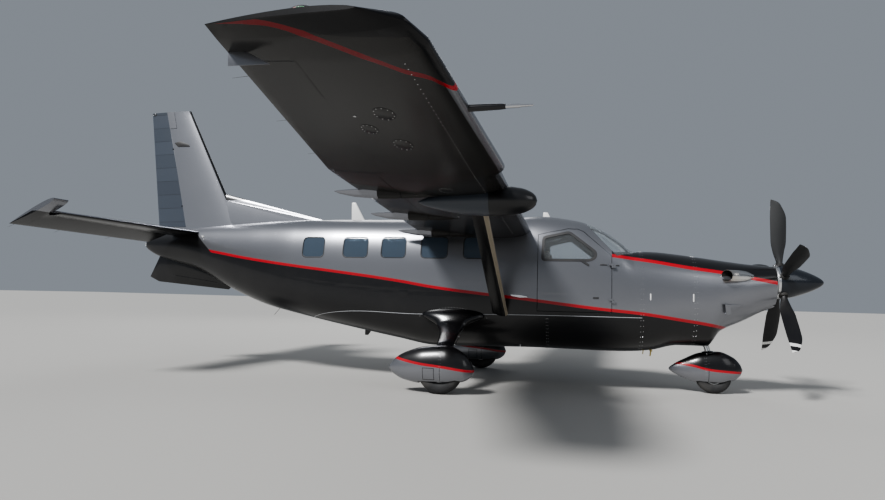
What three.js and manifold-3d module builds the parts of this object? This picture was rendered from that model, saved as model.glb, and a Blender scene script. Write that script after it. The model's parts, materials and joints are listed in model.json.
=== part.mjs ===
// Single-engine turboprop plane with a high wing and fixed gear, parked on its wheels.
// Millimetres. +X points to the nose, +Y to the left wing, +Z up, Z = 0 is the ground.
// A station s is a distance aft of the spinner tip, so x = LENGTH / 2 - s.

import * as THREE from 'three';
import { mergeVertices } from 'three/addons/utils/BufferGeometryUtils.js';
import Module from 'manifold-3d';

const wasm = await Module();
wasm.setup();

// Driving dimensions
const LENGTH = 11580;
const HALF_SPAN = 6858;
const HUB_HEIGHT = 1667;
const WALL = 42;
const COWL_WALL = 16;
const TAIL_WALL = 16;
const BULKHEAD = 25;
const SEAT_GAP = 0.3;
const DOOR_GAP = 7;
const LOWER_DOOR_REAR_GAP = 16;
const HINGE_GAP = 8;
const FINEST = 0.05;

// Stations where the body's panels meet
const COWL_FRONT = 680;
const COWL_SPLIT = 1810;
const FIREWALL = 2553;
const CABIN_END = 8080;
const TAIL_END = 11511;
const FLOOR_TOP = 1140;
const FLOOR_BASE = 1097;

// Body sections: station, top and base heights, half width, height of the widest line,
// and how square the upper and lower halves are
const BODY = [
  { s: 680, top: 1890, base: 1290, half: 268, wide: 1620, up: 2.1, low: 2.1 },
  { s: 835, top: 1902, base: 1225, half: 322, wide: 1600, up: 2.1, low: 2.1 },
  { s: 1090, top: 1928, base: 1085, half: 402, wide: 1560, up: 2.2, low: 2.2 },
  { s: 1420, top: 1972, base: 915, half: 474, wide: 1500, up: 2.4, low: 2.2 },
  { s: 1600, top: 1998, base: 690, half: 505, wide: 1460, up: 2.5, low: 2.2 },
  { s: 2010, top: 2054, base: 688, half: 574, wide: 1420, up: 2.7, low: 2.3 },
  { s: 2390, top: 2090, base: 602, half: 630, wide: 1400, up: 2.9, low: 2.5 },
  { s: 2650, top: 2094, base: 574, half: 662, wide: 1400, up: 3.0, low: 2.6 },
  { s: 2850, top: 2250, base: 566, half: 684, wide: 1400, up: 3.0, low: 2.7 },
  { s: 3140, top: 2440, base: 563, half: 706, wide: 1400, up: 3.1, low: 2.8 },
  { s: 3520, top: 2570, base: 568, half: 724, wide: 1400, up: 3.3, low: 2.9 },
  { s: 4080, top: 2638, base: 570, half: 738, wide: 1400, up: 3.4, low: 3.0 },
  { s: 4730, top: 2588, base: 557, half: 742, wide: 1400, up: 3.4, low: 3.0 },
  { s: 5700, top: 2590, base: 536, half: 742, wide: 1400, up: 3.4, low: 3.0 },
  { s: 6350, top: 2594, base: 632, half: 738, wide: 1420, up: 3.4, low: 2.9 },
  { s: 7360, top: 2604, base: 808, half: 716, wide: 1500, up: 3.3, low: 2.8 },
  { s: 8130, top: 2604, base: 953, half: 650, wide: 1600, up: 3.1, low: 2.6 },
  { s: 8800, top: 2588, base: 1095, half: 548, wide: 1740, up: 2.8, low: 2.4 },
  { s: 9540, top: 2548, base: 1360, half: 418, wide: 1900, up: 2.5, low: 2.2 },
  { s: 10300, top: 2492, base: 1706, half: 272, wide: 2080, up: 2.3, low: 2.1 },
  { s: 10900, top: 2424, base: 1868, half: 150, wide: 2170, up: 2.2, low: 2.0 },
  { s: 11260, top: 2352, base: 1972, half: 92, wide: 2180, up: 2.0, low: 2.0 },
  { s: 11450, top: 2290, base: 2066, half: 50, wide: 2180, up: 2.0, low: 2.0 },
  { s: 11511, top: 2236, base: 2112, half: 26, wide: 2174, up: 2.0, low: 2.0 },
];
const BODY_SIDES = 24;

// Line where the belly pod meets the cabin
const POD_SEAM = [
  [FIREWALL, 1095],
  [4500, 1082],
  [5800, 1050],
  [7360, 1028],
  [7960, 880],
];

// Cabin windows: front and rear stations, right side; the left side repeats them
const WINDOWS = [
  { front: 4790, rear: 5180 },
  { front: 5440, rear: 5860 },
  { front: 6120, rear: 6520 },
  { front: 6760, rear: 7180 },
  { front: 7530, rear: 7920 },
];
const WINDOW_BASE = 1925;
const WINDOW_TOP = 2250;
const WINDOW_CORNER = 62;
const GLASS = 8;
const GLASS_DEPTH = 5;

// Crew door and its glass, as stations and heights
const CREW_DOOR = [
  [2975, 1150],
  [2975, 1985],
  [3090, 2085],
  [3375, 2340],
  [3470, 2386],
  [3610, 2392],
  [4050, 2290],
  [4050, 1150],
];
const CREW_KNUCKLES = { s: 2972, y: 712, heights: [1330, 1840] };
const CREW_GLASS = [
  [3290, 1906],
  [3208, 1950],
  [3196, 2035],
  [3590, 2345],
  [3972, 2258],
  [3982, 1906],
];

// Windshield edges seen from the side
const WINDSHIELD = [
  [2560, 2076],
  [2905, 1985],
  [3350, 2466],
  [3365, 2700],
  [2560, 2700],
];
const CENTRE_POST = 20;

// Cargo door in the left side
const CARGO = { front: 6660, rear: 7990, base: 1150, split: 1745, top: 2372 };

// Hinge lines of the cargo doors, from front to rear, and the stations of their knuckles
const CARGO_UPPER_AXIS = { front: [6660, 628, 2378], rear: [7990, 592, 2378], knuckles: [6800, 7800] };
const CARGO_LOWER_AXIS = { front: [6660, 752, 1150], rear: [7990, 642, 1150], knuckles: [6800, 7640] };

// Wing sections: distance from the centre, leading and trailing edge stations, thickness ratio
const WING = [
  { y: 430, lead: 4180, trail: 5907, thick: 0.17 },
  { y: 3870, lead: 4180, trail: 5907, thick: 0.17 },
  { y: 3960, lead: 4118, trail: 5907, thick: 0.165 },
  { y: 4130, lead: 4122, trail: 5907, thick: 0.165 },
  { y: 6450, lead: 4220, trail: 5493, thick: 0.145 },
  { y: 6700, lead: 4290, trail: 5450, thick: 0.115 },
  { y: HALF_SPAN, lead: 4520, trail: 5420, thick: 0.04 },
];
const WING_HEIGHT = 2317;
const DIHEDRAL = 0.074;
const INCIDENCE = 0.018;
const CAMBER = 0.02;
const WING_SIDES = 20;

const FLAP = { inner: 752, outer: 4098, hinge: 0.72, endGap: 15 };
const AILERON = { inner: 4150, outer: 6440, hinge: 0.68, endGap: HINGE_GAP };
const FAIRING_PLACES = [832, 2070, 3290];
const FAIRING = [
  { s: 4930, half: 20, depth: 75 },
  { s: 5100, half: 55, depth: 94 },
  { s: 5420, half: 66, depth: 102 },
  { s: 5700, half: 62, depth: 98 },
  { s: 5950, half: 46, depth: 74 },
  { s: 6130, half: 26, depth: 36 },
  { s: 6205, half: 6, depth: 6 },
];
const FAIRING_DROP = 30;
const FLAP_AXIS = { s: 5424, drop: 112, radius: 46 };

const STRUT = {
  thick: 64,
  foot: { s: 4597, y: 690, z: 1084, chord: 228 },
  head: { s: 4567, y: 3000, z: 2468, chord: 198 },
};

// Fin and rudder
const FIN = [
  { z: 2330, lead: 9440, trail: 11246, thick: 0.1 },
  { z: 4735, lead: 10712, trail: LENGTH, thick: 0.085 },
];
const RUDDER = {
  foot: { s: 10650, z: 2478 },
  head: { s: 11232, z: 4735 },
  horn: 4410,
  hornReach: 165,
  base: 2505,
};
const DORSAL = { front: 7760, rear: 9900, base: 2560, top: 3132, half: 62 };
const VENTRAL = [
  [9560, 1480],
  [9700, 1356],
  [11184, 1475],
  [11385, 1563],
  [11205, 1945],
  [11200, 2060],
];

// Tailplane: half span, hinge, and the droop of the parked elevator
const TAIL_HEIGHT = 2376;
const TAIL_HINGE = 10862;
const TAIL_TRAIL = 11289;
const ELEVATOR_DROOP = 0.44;
const TAIL = [
  { y: 60, lead: 10216, thick: 0.105 },
  { y: 2810, lead: 10608, thick: 0.1 },
];
const HORN = [
  { y: 2800, lead: 10455, thick: 0.095 },
  { y: 3030, lead: 10462, thick: 0.09 },
];
const ELEVATOR_INNER = 300;
const TORQUE_TUBE = 20;
const TAIL_NOSE = 43;

// Landing gear
const MAIN = { s: 5280, y: 1627, radius: 315, width: 216, rim: 150, sides: 24 };
const NOSE = { s: 1500, y: 0, radius: 252, width: 170, rim: 112, sides: 20 };
const AXLE = 28;
const BORE_GAP = 1.2;
const HUB_GAP = 1.6;

// Hinge brackets: pin radius, its bore, the plate's half thickness and the notch's half height
const HINGE = { pin: 6, bore: 7.0, eye: 14, plate: 6, notch: 16, clear: 24, pinHalf: 40 };
const RUDDER_BRACKETS = [2900, 4000];
const ELEVATOR_BRACKETS = [1600];
const MAIN_LEG = [
  { y: 560, z: 1085, front: 4825, rear: 5815, half: 80 },
  { y: 740, z: 1040, front: 4835, rear: 5805, half: 105 },
  { y: 890, z: 895, front: 5100, rear: 5530, half: 70 },
  { y: 1100, z: 775, front: 5155, rear: 5435, half: 42 },
  { y: 1400, z: 640, front: 5155, rear: 5395, half: 30 },
  { y: 1466, z: 560, front: 5185, rear: 5375, half: 24 },
  { y: 1480, z: 270, front: 5220, rear: 5340, half: 20 },
];
const MAIN_PANT = [
  { s: 4808, half: 14, top: 350, base: 322 },
  { s: 4840, half: 64, top: 424, base: 256 },
  { s: 4950, half: 142, top: 556, base: 182 },
  { s: 5200, half: 188, top: 662, base: 134 },
  { s: 5500, half: 180, top: 636, base: 128 },
  { s: 5780, half: 126, top: 548, base: 164 },
  { s: 5940, half: 66, top: 448, base: 236 },
  { s: 6012, half: 14, top: 350, base: 306 },
];
const NOSE_PANT = [
  { s: 1100, half: 12, top: 372, base: 346 },
  { s: 1128, half: 54, top: 440, base: 280 },
  { s: 1230, half: 118, top: 545, base: 196 },
  { s: 1430, half: 152, top: 618, base: 134 },
  { s: 1660, half: 148, top: 596, base: 138 },
  { s: 1920, half: 88, top: 484, base: 212 },
  { s: 2090, half: 26, top: 380, base: 296 },
  { s: 2122, half: 6, top: 346, base: 328 },
];
const PANT_WALL = 12;
const FORK = { y: NOSE.width / 2 + 26, crown: 70, shoulder: 430, top: 526, radius: 13 };
const STEER = { s: 1500, z: 250, rake: 0.235, top: 930, radius: 30 };

// Propeller
const BLADES = 5;
const BLADE_SIDES = 8;
const PROP_STATION = 600;
const BLADE_PHASE = -0.035;
const BLADE_HOLE = 68;
const BLADE = [
  { r: 120, fore: 46, aft: 46, thick: 92, turn: 1.5 },
  { r: 268, fore: 42, aft: 42, thick: 64, turn: 1.5 },
  { r: 430, fore: 62, aft: 82, thick: 38, turn: 1.48 },
  { r: 600, fore: 94, aft: 107, thick: 30, turn: 1.44 },
  { r: 940, fore: 104, aft: 106, thick: 21, turn: 1.35 },
  { r: 1150, fore: 40, aft: 97, thick: 14, turn: 1.28 },
  { r: 1245, fore: -24, aft: 93, thick: 10, turn: 1.26 },
];
const BLADE_TIP_CUT = 28;
const HUB_BARREL = { front: 470, radius: 150 };
const SHAFT_RADIUS = 70;
const SPINNER = {
  back: 655,
  wall: 8,
  plate: 12,
  profile: [[0, 0], [14, 30], [110, 98], [290, 178], [470, 232], [655, 255]],
};

const ENGINE = { front: 850, rear: 2250, radius: 206 };
const EXHAUST_HEIGHT = 1726;
const EXHAUST = [
  { s: 1010, y: 330, r: 30 },
  { s: 1130, y: 405, r: 72 },
  { s: 1280, y: 468, r: 84 },
  { s: 1460, y: 512, r: 86 },
];

// Pod and boom of the right wing
const POD = { y: -3200, z: 2395 };
const POD_PROFILE = [
  [3860, 0], [3875, 48], [3930, 98], [4030, 138], [4180, 160], [4360, 166],
  [4620, 150], [4900, 104], [5120, 46], [5220, 0],
];
const BOOM = { y: -5450, front: 3711, rear: 4190, radius: 17, drop: 6 };

// Seats: stations, distance from the centre line, and the height of a back
const SEAT_Y = 345;
const SEAT_BACK = 1930;
const CREW_SEAT = 3650;
const CABIN_SEATS = [4750, 5600, 6350];
const RAIL = { front: 4500, rear: 6800, half: 25, height: 14 };

const x = (s) => LENGTH / 2 - s;
const at = (s, y, z) => new THREE.Vector3(x(s), y, z);

// Solids
function solid(geometry) {
  const plain = geometry.index ? geometry.clone() : geometry;
  plain.deleteAttribute('normal');
  plain.deleteAttribute('uv');
  const merged = mergeVertices(plain, 0.001);
  const triVerts = new Uint32Array(merged.index.array);
  const vertProperties = new Float32Array(merged.attributes.position.array);
  if (volume(vertProperties, triVerts) < 0) {
    for (let i = 0; i < triVerts.length; i += 3) {
      [triVerts[i], triVerts[i + 1]] = [triVerts[i + 1], triVerts[i]];
    }
  }
  return new wasm.Manifold(new wasm.Mesh({ numProp: 3, vertProperties, triVerts }));
}

function volume(points, triangles) {
  let sum = 0;
  const corner = (i) => new THREE.Vector3().fromArray(points, 3 * triangles[i]);
  for (let i = 0; i < triangles.length; i += 3) {
    sum += corner(i).dot(corner(i + 1).cross(corner(i + 2)));
  }
  return sum / 6;
}

function geometryOf(manifold) {
  const mesh = manifold.simplify(FINEST).getMesh();
  const geometry = new THREE.BufferGeometry();
  geometry.setAttribute('position', new THREE.BufferAttribute(new Float32Array(mesh.vertProperties), 3));
  geometry.setIndex(new THREE.BufferAttribute(new Uint32Array(mesh.triVerts), 1));
  geometry.computeVertexNormals();
  return geometry;
}

// A closed skin over rings: place(ring, turn) gives each point, turn running from 0 to 1.
// An even skin is split into triangles alike on its left and right halves.
function skin(rings, sides, place, even = false) {
  const shape = new THREE.CylinderGeometry(1, 1, rings - 1, sides, rings - 1);
  const index = shape.index.array;
  const quads = rings - 1;
  for (let side = sides / 4; even && side < (3 * sides) / 4; side += 1) {
    for (let ring = 0; ring < quads; ring += 1) {
      const first = 6 * (side * quads + ring);
      const [a, b, d, , c] = index.slice(first, first + 5);
      index.set([a, b, c, a, c, d], first);
    }
  }
  const points = shape.attributes.position;
  const centres = [0, rings - 1].map((ring) => {
    const centre = new THREE.Vector3();
    for (let side = 0; side < sides; side += 1) centre.add(place(ring, side / sides));
    return centre.divideScalar(sides);
  });
  for (let i = 0; i < points.count; i += 1) {
    const ring = Math.round((rings - 1) / 2 - points.getY(i));
    const side = Math.round((Math.atan2(points.getX(i), points.getZ(i)) / (2 * Math.PI)) * sides);
    const turn = ((side + sides) % sides) / sides;
    const onAxis = Math.hypot(points.getX(i), points.getZ(i)) < 0.5;
    const point = onAxis ? centres[ring === 0 ? 0 : 1] : place(ring, turn);
    points.setXYZ(i, point.x, point.y, point.z);
  }
  return solid(shape);
}

function box(s0, s1, y0, y1, z0, z1) {
  const shape = new THREE.BoxGeometry(s1 - s0, y1 - y0, z1 - z0);
  shape.translate(x((s0 + s1) / 2), (y0 + y1) / 2, (z0 + z1) / 2);
  return solid(shape);
}

// A side-view outline of stations and heights, pushed through from y0 to y1
function prism(outline, y0, y1) {
  const shape = new THREE.Shape(outline.map(([s, z]) => new THREE.Vector2(x(s), z)));
  const block = new THREE.ExtrudeGeometry(shape, { depth: y1 - y0, bevelEnabled: false });
  block.rotateX(Math.PI / 2);
  block.translate(0, y1, 0);
  return solid(block);
}

function rod(from, to, radius, sides = 12) {
  const along = to.clone().sub(from);
  const shape = new THREE.CylinderGeometry(radius, radius, along.length(), sides);
  const turn = new THREE.Quaternion().setFromUnitVectors(new THREE.Vector3(0, 1, 0), along.normalize());
  shape.applyQuaternion(turn);
  const middle = from.clone().add(to).divideScalar(2);
  shape.translate(middle.x, middle.y, middle.z);
  return solid(shape);
}

// A block along a forward direction, wide across it and rising along an axis
function beam(origin, forward, axis, reach, half, rise) {
  const [from, to] = reach;
  const shape = new THREE.BoxGeometry(to - from, half[1] - half[0], 2 * rise);
  shape.translate((from + to) / 2, (half[0] + half[1]) / 2, 0);
  const across = axis.clone().cross(forward);
  shape.applyMatrix4(new THREE.Matrix4().makeBasis(forward, across, axis));
  shape.translate(origin.x, origin.y, origin.z);
  return solid(shape);
}

// A pin along an axis, reaching from one distance to another
function pinAlong(origin, axis, from, to, radius, sides = 8) {
  const reach = (distance) => origin.clone().addScaledVector(axis, distance);
  return rod(reach(from), reach(to), radius, sides);
}

// A hinge plate with its pin, and the notch and bore that take it
function bracket(origin, forward, axis, reach) {
  const arm = beam(origin, forward, axis, [0, reach], [-9, 9], HINGE.plate);
  const eye = pinAlong(origin, axis, -HINGE.plate - 1, HINGE.plate + 1, HINGE.eye);
  const pin = pinAlong(origin, axis, -HINGE.pinHalf, HINGE.pinHalf, HINGE.pin);
  return join([arm, eye, pin]);
}
function bracketNotch(origin, forward, axis) {
  const notch = beam(origin, forward, axis, [0, 120], [-200, 200], HINGE.notch);
  const round = pinAlong(origin, axis, -HINGE.notch - 1, HINGE.notch + 1, HINGE.clear);
  const bore = pinAlong(origin, axis, -HINGE.pinHalf - 2, HINGE.pinHalf + 2, HINGE.bore);
  return join([notch, round, bore]);
}

// A ring turned about the Y axis at a wheel's centre, from (radius, offset) pairs
function turned(profile, sides, s, y, z) {
  const shape = new THREE.LatheGeometry(profile.map(([r, w]) => new THREE.Vector2(r, w)), sides);
  shape.rotateY(Math.PI / sides);
  shape.rotateY(-Math.PI / 2);
  shape.translate(x(s), y, z);
  return solid(shape);
}

function mirrored(manifold) {
  return manifold.mirror([0, 1, 0]);
}

const moved = (manifold, dx, dy, dz) => manifold.translate([dx, dy, dz]);
const join = (solids) => solids.reduce((whole, next) => whole.add(next));
const FORWARD = new THREE.Vector3(1, 0, 0);
const ACROSS = new THREE.Vector3(0, 1, 0);
const UP = new THREE.Vector3(0, 0, 1);

// Superellipse point of a section
function squarish(turn, half, top, base, wide, up, low) {
  const angle = turn * 2 * Math.PI;
  const c = Math.cos(angle);
  const d = Math.sin(angle);
  const power = 2 / (d >= 0 ? up : low);
  const reach = d >= 0 ? top - wide : wide - base;
  const y = half * Math.sign(c) * Math.abs(c) ** power;
  return { y, z: wide + reach * Math.sign(d) * Math.abs(d) ** power };
}

// Body skin, grown outwards by grow
function body(grow) {
  const place = (ring, turn) => {
    const row = BODY[ring];
    const p = squarish(turn, row.half + grow, row.top + grow, row.base - grow, row.wide, row.up, row.low);
    return at(row.s, p.y, p.z);
  };
  return skin(BODY.length, BODY_SIDES, place, true);
}

const bodyOuter = body(0);
const bodyFit = body(SEAT_GAP + 0.1);
const FAR = 9000;
const slab = (s0, s1) => box(s0, s1, -FAR, FAR, -10, FAR);

const meshes = [];
function piece(name, manifold, color, roughness, metalness) {
  const material = new THREE.MeshStandardMaterial({ color, roughness, metalness });
  const mesh = new THREE.Mesh(geometryOf(manifold), material);
  mesh.name = name;
  meshes.push(mesh);
  return mesh;
}

const SILVER = 0x85888f;
const BLACK = 0x0b0c0f;
const SLATE = 0x3a4048;
const STEEL = 0xb8bcc2;
const RUBBER = 0x141414;
const TINT = 0x1b232c;
const CLEAR_GLASS = 0x9fb3bd;
const LEATHER = 0x57504a;
const CARPET = 0x2c2c30;

// Wing
function wingRow(y) {
  let i = 0;
  while (i < WING.length - 2 && WING[i + 1].y < y) i += 1;
  const [a, b] = [WING[i], WING[i + 1]];
  const t = (y - a.y) / (b.y - a.y);
  const mix = (key) => a[key] + (b[key] - a[key]) * t;
  return { lead: mix('lead'), trail: mix('trail'), thick: mix('thick') };
}

function halfThickness(f, thick) {
  const poly = 0.2969 * Math.sqrt(f) - 0.126 * f - 0.3516 * f ** 2 + 0.2843 * f ** 3 - 0.1036 * f ** 4;
  return 5 * thick * poly;
}

function camber(f) {
  const peak = 0.4;
  return f < peak
    ? (CAMBER / peak ** 2) * (2 * peak * f - f ** 2)
    : (CAMBER / (1 - peak) ** 2) * (1 - 2 * peak + 2 * peak * f - f ** 2);
}

// Place on the wing: station, middle height and half thickness at a chord fraction
function wingPlace(y, f) {
  const row = wingRow(y);
  const chord = row.trail - row.lead;
  return {
    s: row.lead + f * chord,
    z: WING_HEIGHT + DIHEDRAL * y + (camber(f) - INCIDENCE * f) * chord,
    half: halfThickness(f, row.thick) * chord,
  };
}

function foil(turn, sides) {
  const angle = (turn + 0.5 / sides) * 2 * Math.PI;
  return { f: 0.5 * (1 + Math.cos(angle)), side: Math.sign(Math.sin(angle)) };
}

function wingBlank() {
  return skin(WING.length, WING_SIDES, (ring, turn) => {
    const { f, side } = foil(turn, WING_SIDES);
    const place = wingPlace(WING[ring].y, f);
    return at(place.s, WING[ring].y, place.z + side * place.half);
  });
}

// The space of a control surface behind its hinge line, with a round nose
function surfaceSpace({ inner, outer, hinge, endGap }, grow) {
  const ends = [inner - grow, outer + (grow > 0 ? endGap : 0)];
  const nose = skin(2, 12, (ring, turn) => {
    const place = wingPlace(ends[ring], hinge);
    const r = place.half + grow;
    const angle = turn * 2 * Math.PI;
    return at(place.s + r * Math.cos(angle), ends[ring], place.z + r * Math.sin(angle));
  });
  const tail = skin(2, 4, (ring, turn) => {
    const place = wingPlace(ends[ring], hinge);
    const corner = Math.round(turn * 4);
    const s = corner === 0 || corner === 3 ? place.s : place.s + 1200;
    return at(s, ends[ring], place.z + (corner < 2 ? 260 : -260));
  });
  return nose.add(tail);
}

function fairing(y) {
  const blank = skin(FAIRING.length, 8, (ring, turn) => {
    const row = FAIRING[ring];
    const centre = wingPlace(y, 0.8).z - FAIRING_DROP;
    const angle = turn * 2 * Math.PI;
    const depth = row.depth * (Math.sin(angle) > 0 ? 0.3 : 1);
    return at(row.s, y + row.half * Math.cos(angle), centre + depth * Math.sin(angle));
  });
  return blank;
}

const blank = wingBlank();
const flapSpace = (grow) => surfaceSpace(FLAP, grow);
const aileronSpace = (grow) => surfaceSpace(AILERON, grow);

// The flap swings on pins low in its fairings, each split by a round face about the pin
const flapLine = new THREE.Vector3(0, 1, DIHEDRAL).normalize();
const flapPin = (y) => at(FLAP_AXIS.s, y, wingPlace(y, FLAP.hinge).z - FLAP_AXIS.drop);
const fairings = FAIRING_PLACES.map((y) => {
  const whole = fairing(y);
  const pin = flapPin(y);
  const round = pinAlong(pin, flapLine, -90, 90, FLAP_AXIS.radius, 10);
  const hollow = pinAlong(pin, flapLine, -74, 74, FLAP_AXIS.radius + HINGE_GAP, 10);
  const slot = join([
    beam(pin, FORWARD, flapLine, [0, 60], [-16, 60], 10),
    pinAlong(pin, flapLine, -11, 11, 20),
    pinAlong(pin, flapLine, -32, 32, HINGE.bore),
  ]);
  return {
    front: whole.intersect(slab(4000, FLAP_AXIS.s)),
    hollow,
    tail: whole.intersect(slab(FLAP_AXIS.s, 6300).add(round)),
    slot,
    arm: join([
      beam(pin, FORWARD, flapLine, [0, 80], [-9, 9], HINGE.plate),
      pinAlong(pin, flapLine, -HINGE.plate - 1, HINGE.plate + 1, HINGE.eye),
      pinAlong(pin, flapLine, -30, 30, HINGE.pin),
    ]),
  };
});

// The aileron swings on a pin at each end
const aileronEnds = [AILERON.inner, AILERON.outer].map((y) => {
  const place = wingPlace(y, AILERON.hinge);
  return at(place.s, y, place.z);
});
const aileronLine = aileronEnds[1].clone().sub(aileronEnds[0]).normalize();
const aileronPins = (radius, reach) => [
  pinAlong(aileronEnds[0], aileronLine, -22, reach, radius),
  pinAlong(aileronEnds[1], aileronLine, -reach, 30, radius),
];

const pinned = [fairings[0], fairings[2]];
const wing = join([blank, ...fairings.map((set) => set.front)])
  .subtract(join([flapSpace(HINGE_GAP), aileronSpace(HINGE_GAP), ...fairings.map((set) => set.hollow)]))
  .add(join([...pinned.map((set) => set.arm), ...aileronPins(HINGE.pin, 34)]))
  .subtract(bodyFit);
const flap = join([blank.intersect(flapSpace(0)), ...fairings.map((set) => set.tail)])
  .subtract(join(pinned.map((set) => set.slot)));
const aileron = blank.intersect(aileronSpace(0)).subtract(join(aileronPins(HINGE.bore, 36)));

// Strut from the lower body to the wing
function strutBlank() {
  const ends = [STRUT.foot, STRUT.head];
  const run = new THREE.Vector2(STRUT.head.y - STRUT.foot.y, STRUT.head.z - STRUT.foot.z).normalize();
  return skin(2, 12, (ring, turn) => {
    const angle = turn * 2 * Math.PI;
    const across = (STRUT.thick / 2) * Math.sin(angle);
    const along = (ends[ring].chord / 2) * Math.cos(angle);
    return at(ends[ring].s + along, ends[ring].y - run.y * across, ends[ring].z + run.x * across);
  });
}
const wingFit = wing.add(moved(wing, 0, 0, -0.4));
const strutCut = strutBlank().subtract(bodyFit).subtract(wingFit);
const strut = strutCut.decompose().sort((a, b) => b.volume() - a.volume())[0];

// Radar pod under the right wing, and the pitot boom
function radarPod() {
  const profile = POD_PROFILE.map(([s, r]) => new THREE.Vector2(r, -s));
  const shape = new THREE.LatheGeometry(profile, 16);
  shape.rotateZ(-Math.PI / 2);
  shape.translate(LENGTH / 2, POD.y, POD.z);
  return solid(shape);
}

// Fin, rudder and tail surfaces
function finRow(z) {
  const t = (z - FIN[0].z) / (FIN[1].z - FIN[0].z);
  const mix = (key) => FIN[0][key] + (FIN[1][key] - FIN[0][key]) * t;
  return { lead: mix('lead'), trail: mix('trail'), thick: mix('thick') };
}
function finBlank() {
  return skin(2, 20, (ring, turn) => {
    const row = FIN[ring];
    const { f, side } = foil(turn, 20);
    const chord = row.trail - row.lead;
    return at(row.lead + f * chord, side * halfThickness(f, row.thick) * chord, row.z);
  });
}
function rudderStation(z) {
  const t = (z - RUDDER.foot.z) / (RUDDER.head.z - RUDDER.foot.z);
  return RUDDER.foot.s + (RUDDER.head.s - RUDDER.foot.s) * t;
}
function rudderSpace(grow) {
  const ends = [RUDDER.base - grow, RUDDER.head.z + 40];
  const slice = (z) => {
    const row = finRow(z);
    const chord = row.trail - row.lead;
    return halfThickness((rudderStation(z) - row.lead) / chord, row.thick) * chord;
  };
  const nose = skin(2, 12, (ring, turn) => {
    const z = ends[ring];
    const r = slice(z) + grow;
    const angle = turn * 2 * Math.PI;
    return at(rudderStation(z) + r * Math.cos(angle), r * Math.sin(angle), z);
  });
  const tail = skin(2, 4, (ring, turn) => {
    const corner = Math.round(turn * 4);
    const s = rudderStation(ends[ring]) + (corner === 0 || corner === 3 ? 0 : 900);
    return at(s, corner < 2 ? 200 : -200, ends[ring]);
  });
  const front = (z) => rudderStation(z) - RUDDER.hornReach - grow;
  const low = RUDDER.horn - grow;
  const high = ends[1];
  const hornOutline = [
    [front(low), low], [rudderStation(low), low], [rudderStation(high), high], [front(high), high],
  ];
  return join([nose, tail, prism(hornOutline, -200, 200)]);
}
const finWhole = finBlank();
const dorsal = skin(2, 6, (ring, turn) => {
  const angle = turn * 2 * Math.PI;
  const top = ring === 0 ? DORSAL.base + 40 : DORSAL.top;
  const half = ring === 0 ? 20 : DORSAL.half;
  const rise = (top - DORSAL.base) * Math.max(0, Math.sin(angle)) ** 1.6;
  const z = DORSAL.base + rise - (Math.sin(angle) < 0 ? 60 : 0);
  return at(ring === 0 ? DORSAL.front : DORSAL.rear, half * Math.cos(angle), z);
});
const rudderLine = at(RUDDER.head.s, 0, RUDDER.head.z).sub(at(RUDDER.foot.s, 0, RUDDER.foot.z)).normalize();
const rudderForward = new THREE.Vector3(rudderLine.z, 0, -rudderLine.x);
const rudderHinge = (make, ...rest) => join(
  RUDDER_BRACKETS.map((z) => make(at(rudderStation(z), 0, z), rudderForward, rudderLine, ...rest)),
);
const rudder = finWhole.intersect(rudderSpace(0)).subtract(rudderHinge(bracketNotch));
const fin = finWhole
  .subtract(rudderSpace(HINGE_GAP))
  .add(dorsal)
  .add(rudderHinge(bracket, 85))
  .subtract(bodyFit);

function tailBlank(rows) {
  return skin(2, 20, (ring, turn) => {
    const row = rows[ring];
    const { f, side } = foil(turn, 20);
    const chord = TAIL_TRAIL - row.lead;
    return at(row.lead + f * chord, row.y, TAIL_HEIGHT + side * halfThickness(f, row.thick) * chord);
  });
}
function elevatorSpace(grow) {
  const nose = rod(
    at(TAIL_HINGE, ELEVATOR_INNER - grow, TAIL_HEIGHT),
    at(TAIL_HINGE, TAIL[1].y + 10, TAIL_HEIGHT),
    TAIL_NOSE + grow,
  );
  const [low, high, tip] = [TAIL_HEIGHT - 150, TAIL_HEIGHT + 150, TAIL[1].y + 10];
  const tail = box(TAIL_HINGE, TAIL_TRAIL + 50, ELEVATOR_INNER - grow, tip, low, high);
  return join([nose, tail]);
}
const tailWhole = tailBlank(TAIL);
const elevatorHinge = (make, ...rest) => join(
  ELEVATOR_BRACKETS.map((y) => make(at(TAIL_HINGE, y, TAIL_HEIGHT), FORWARD, ACROSS, ...rest)),
);
const elevatorHalf = tailWhole
  .intersect(elevatorSpace(0))
  .subtract(elevatorHinge(bracketNotch))
  .add(tailBlank(HORN));
const tubeEnd = ELEVATOR_INNER + 15;
const torqueTube = rod(
  at(TAIL_HINGE, -tubeEnd, TAIL_HEIGHT),
  at(TAIL_HINGE, tubeEnd, TAIL_HEIGHT),
  TORQUE_TUBE,
);
const elevator = join([elevatorHalf, mirrored(elevatorHalf), torqueTube]);
const stabiliser = tailWhole
  .intersect(box(9000, 12000, 0, HORN[0].y - HINGE_GAP, 0, FAR))
  .subtract(elevatorSpace(HINGE_GAP))
  .subtract(box(TAIL_HINGE - TORQUE_TUBE - 14, 12000, 0, ELEVATOR_INNER, 0, FAR))
  .add(elevatorHinge(bracket, 70))
  .subtract(bodyFit);
const ventral = prism(VENTRAL, -16, 16).subtract(bodyFit);

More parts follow.
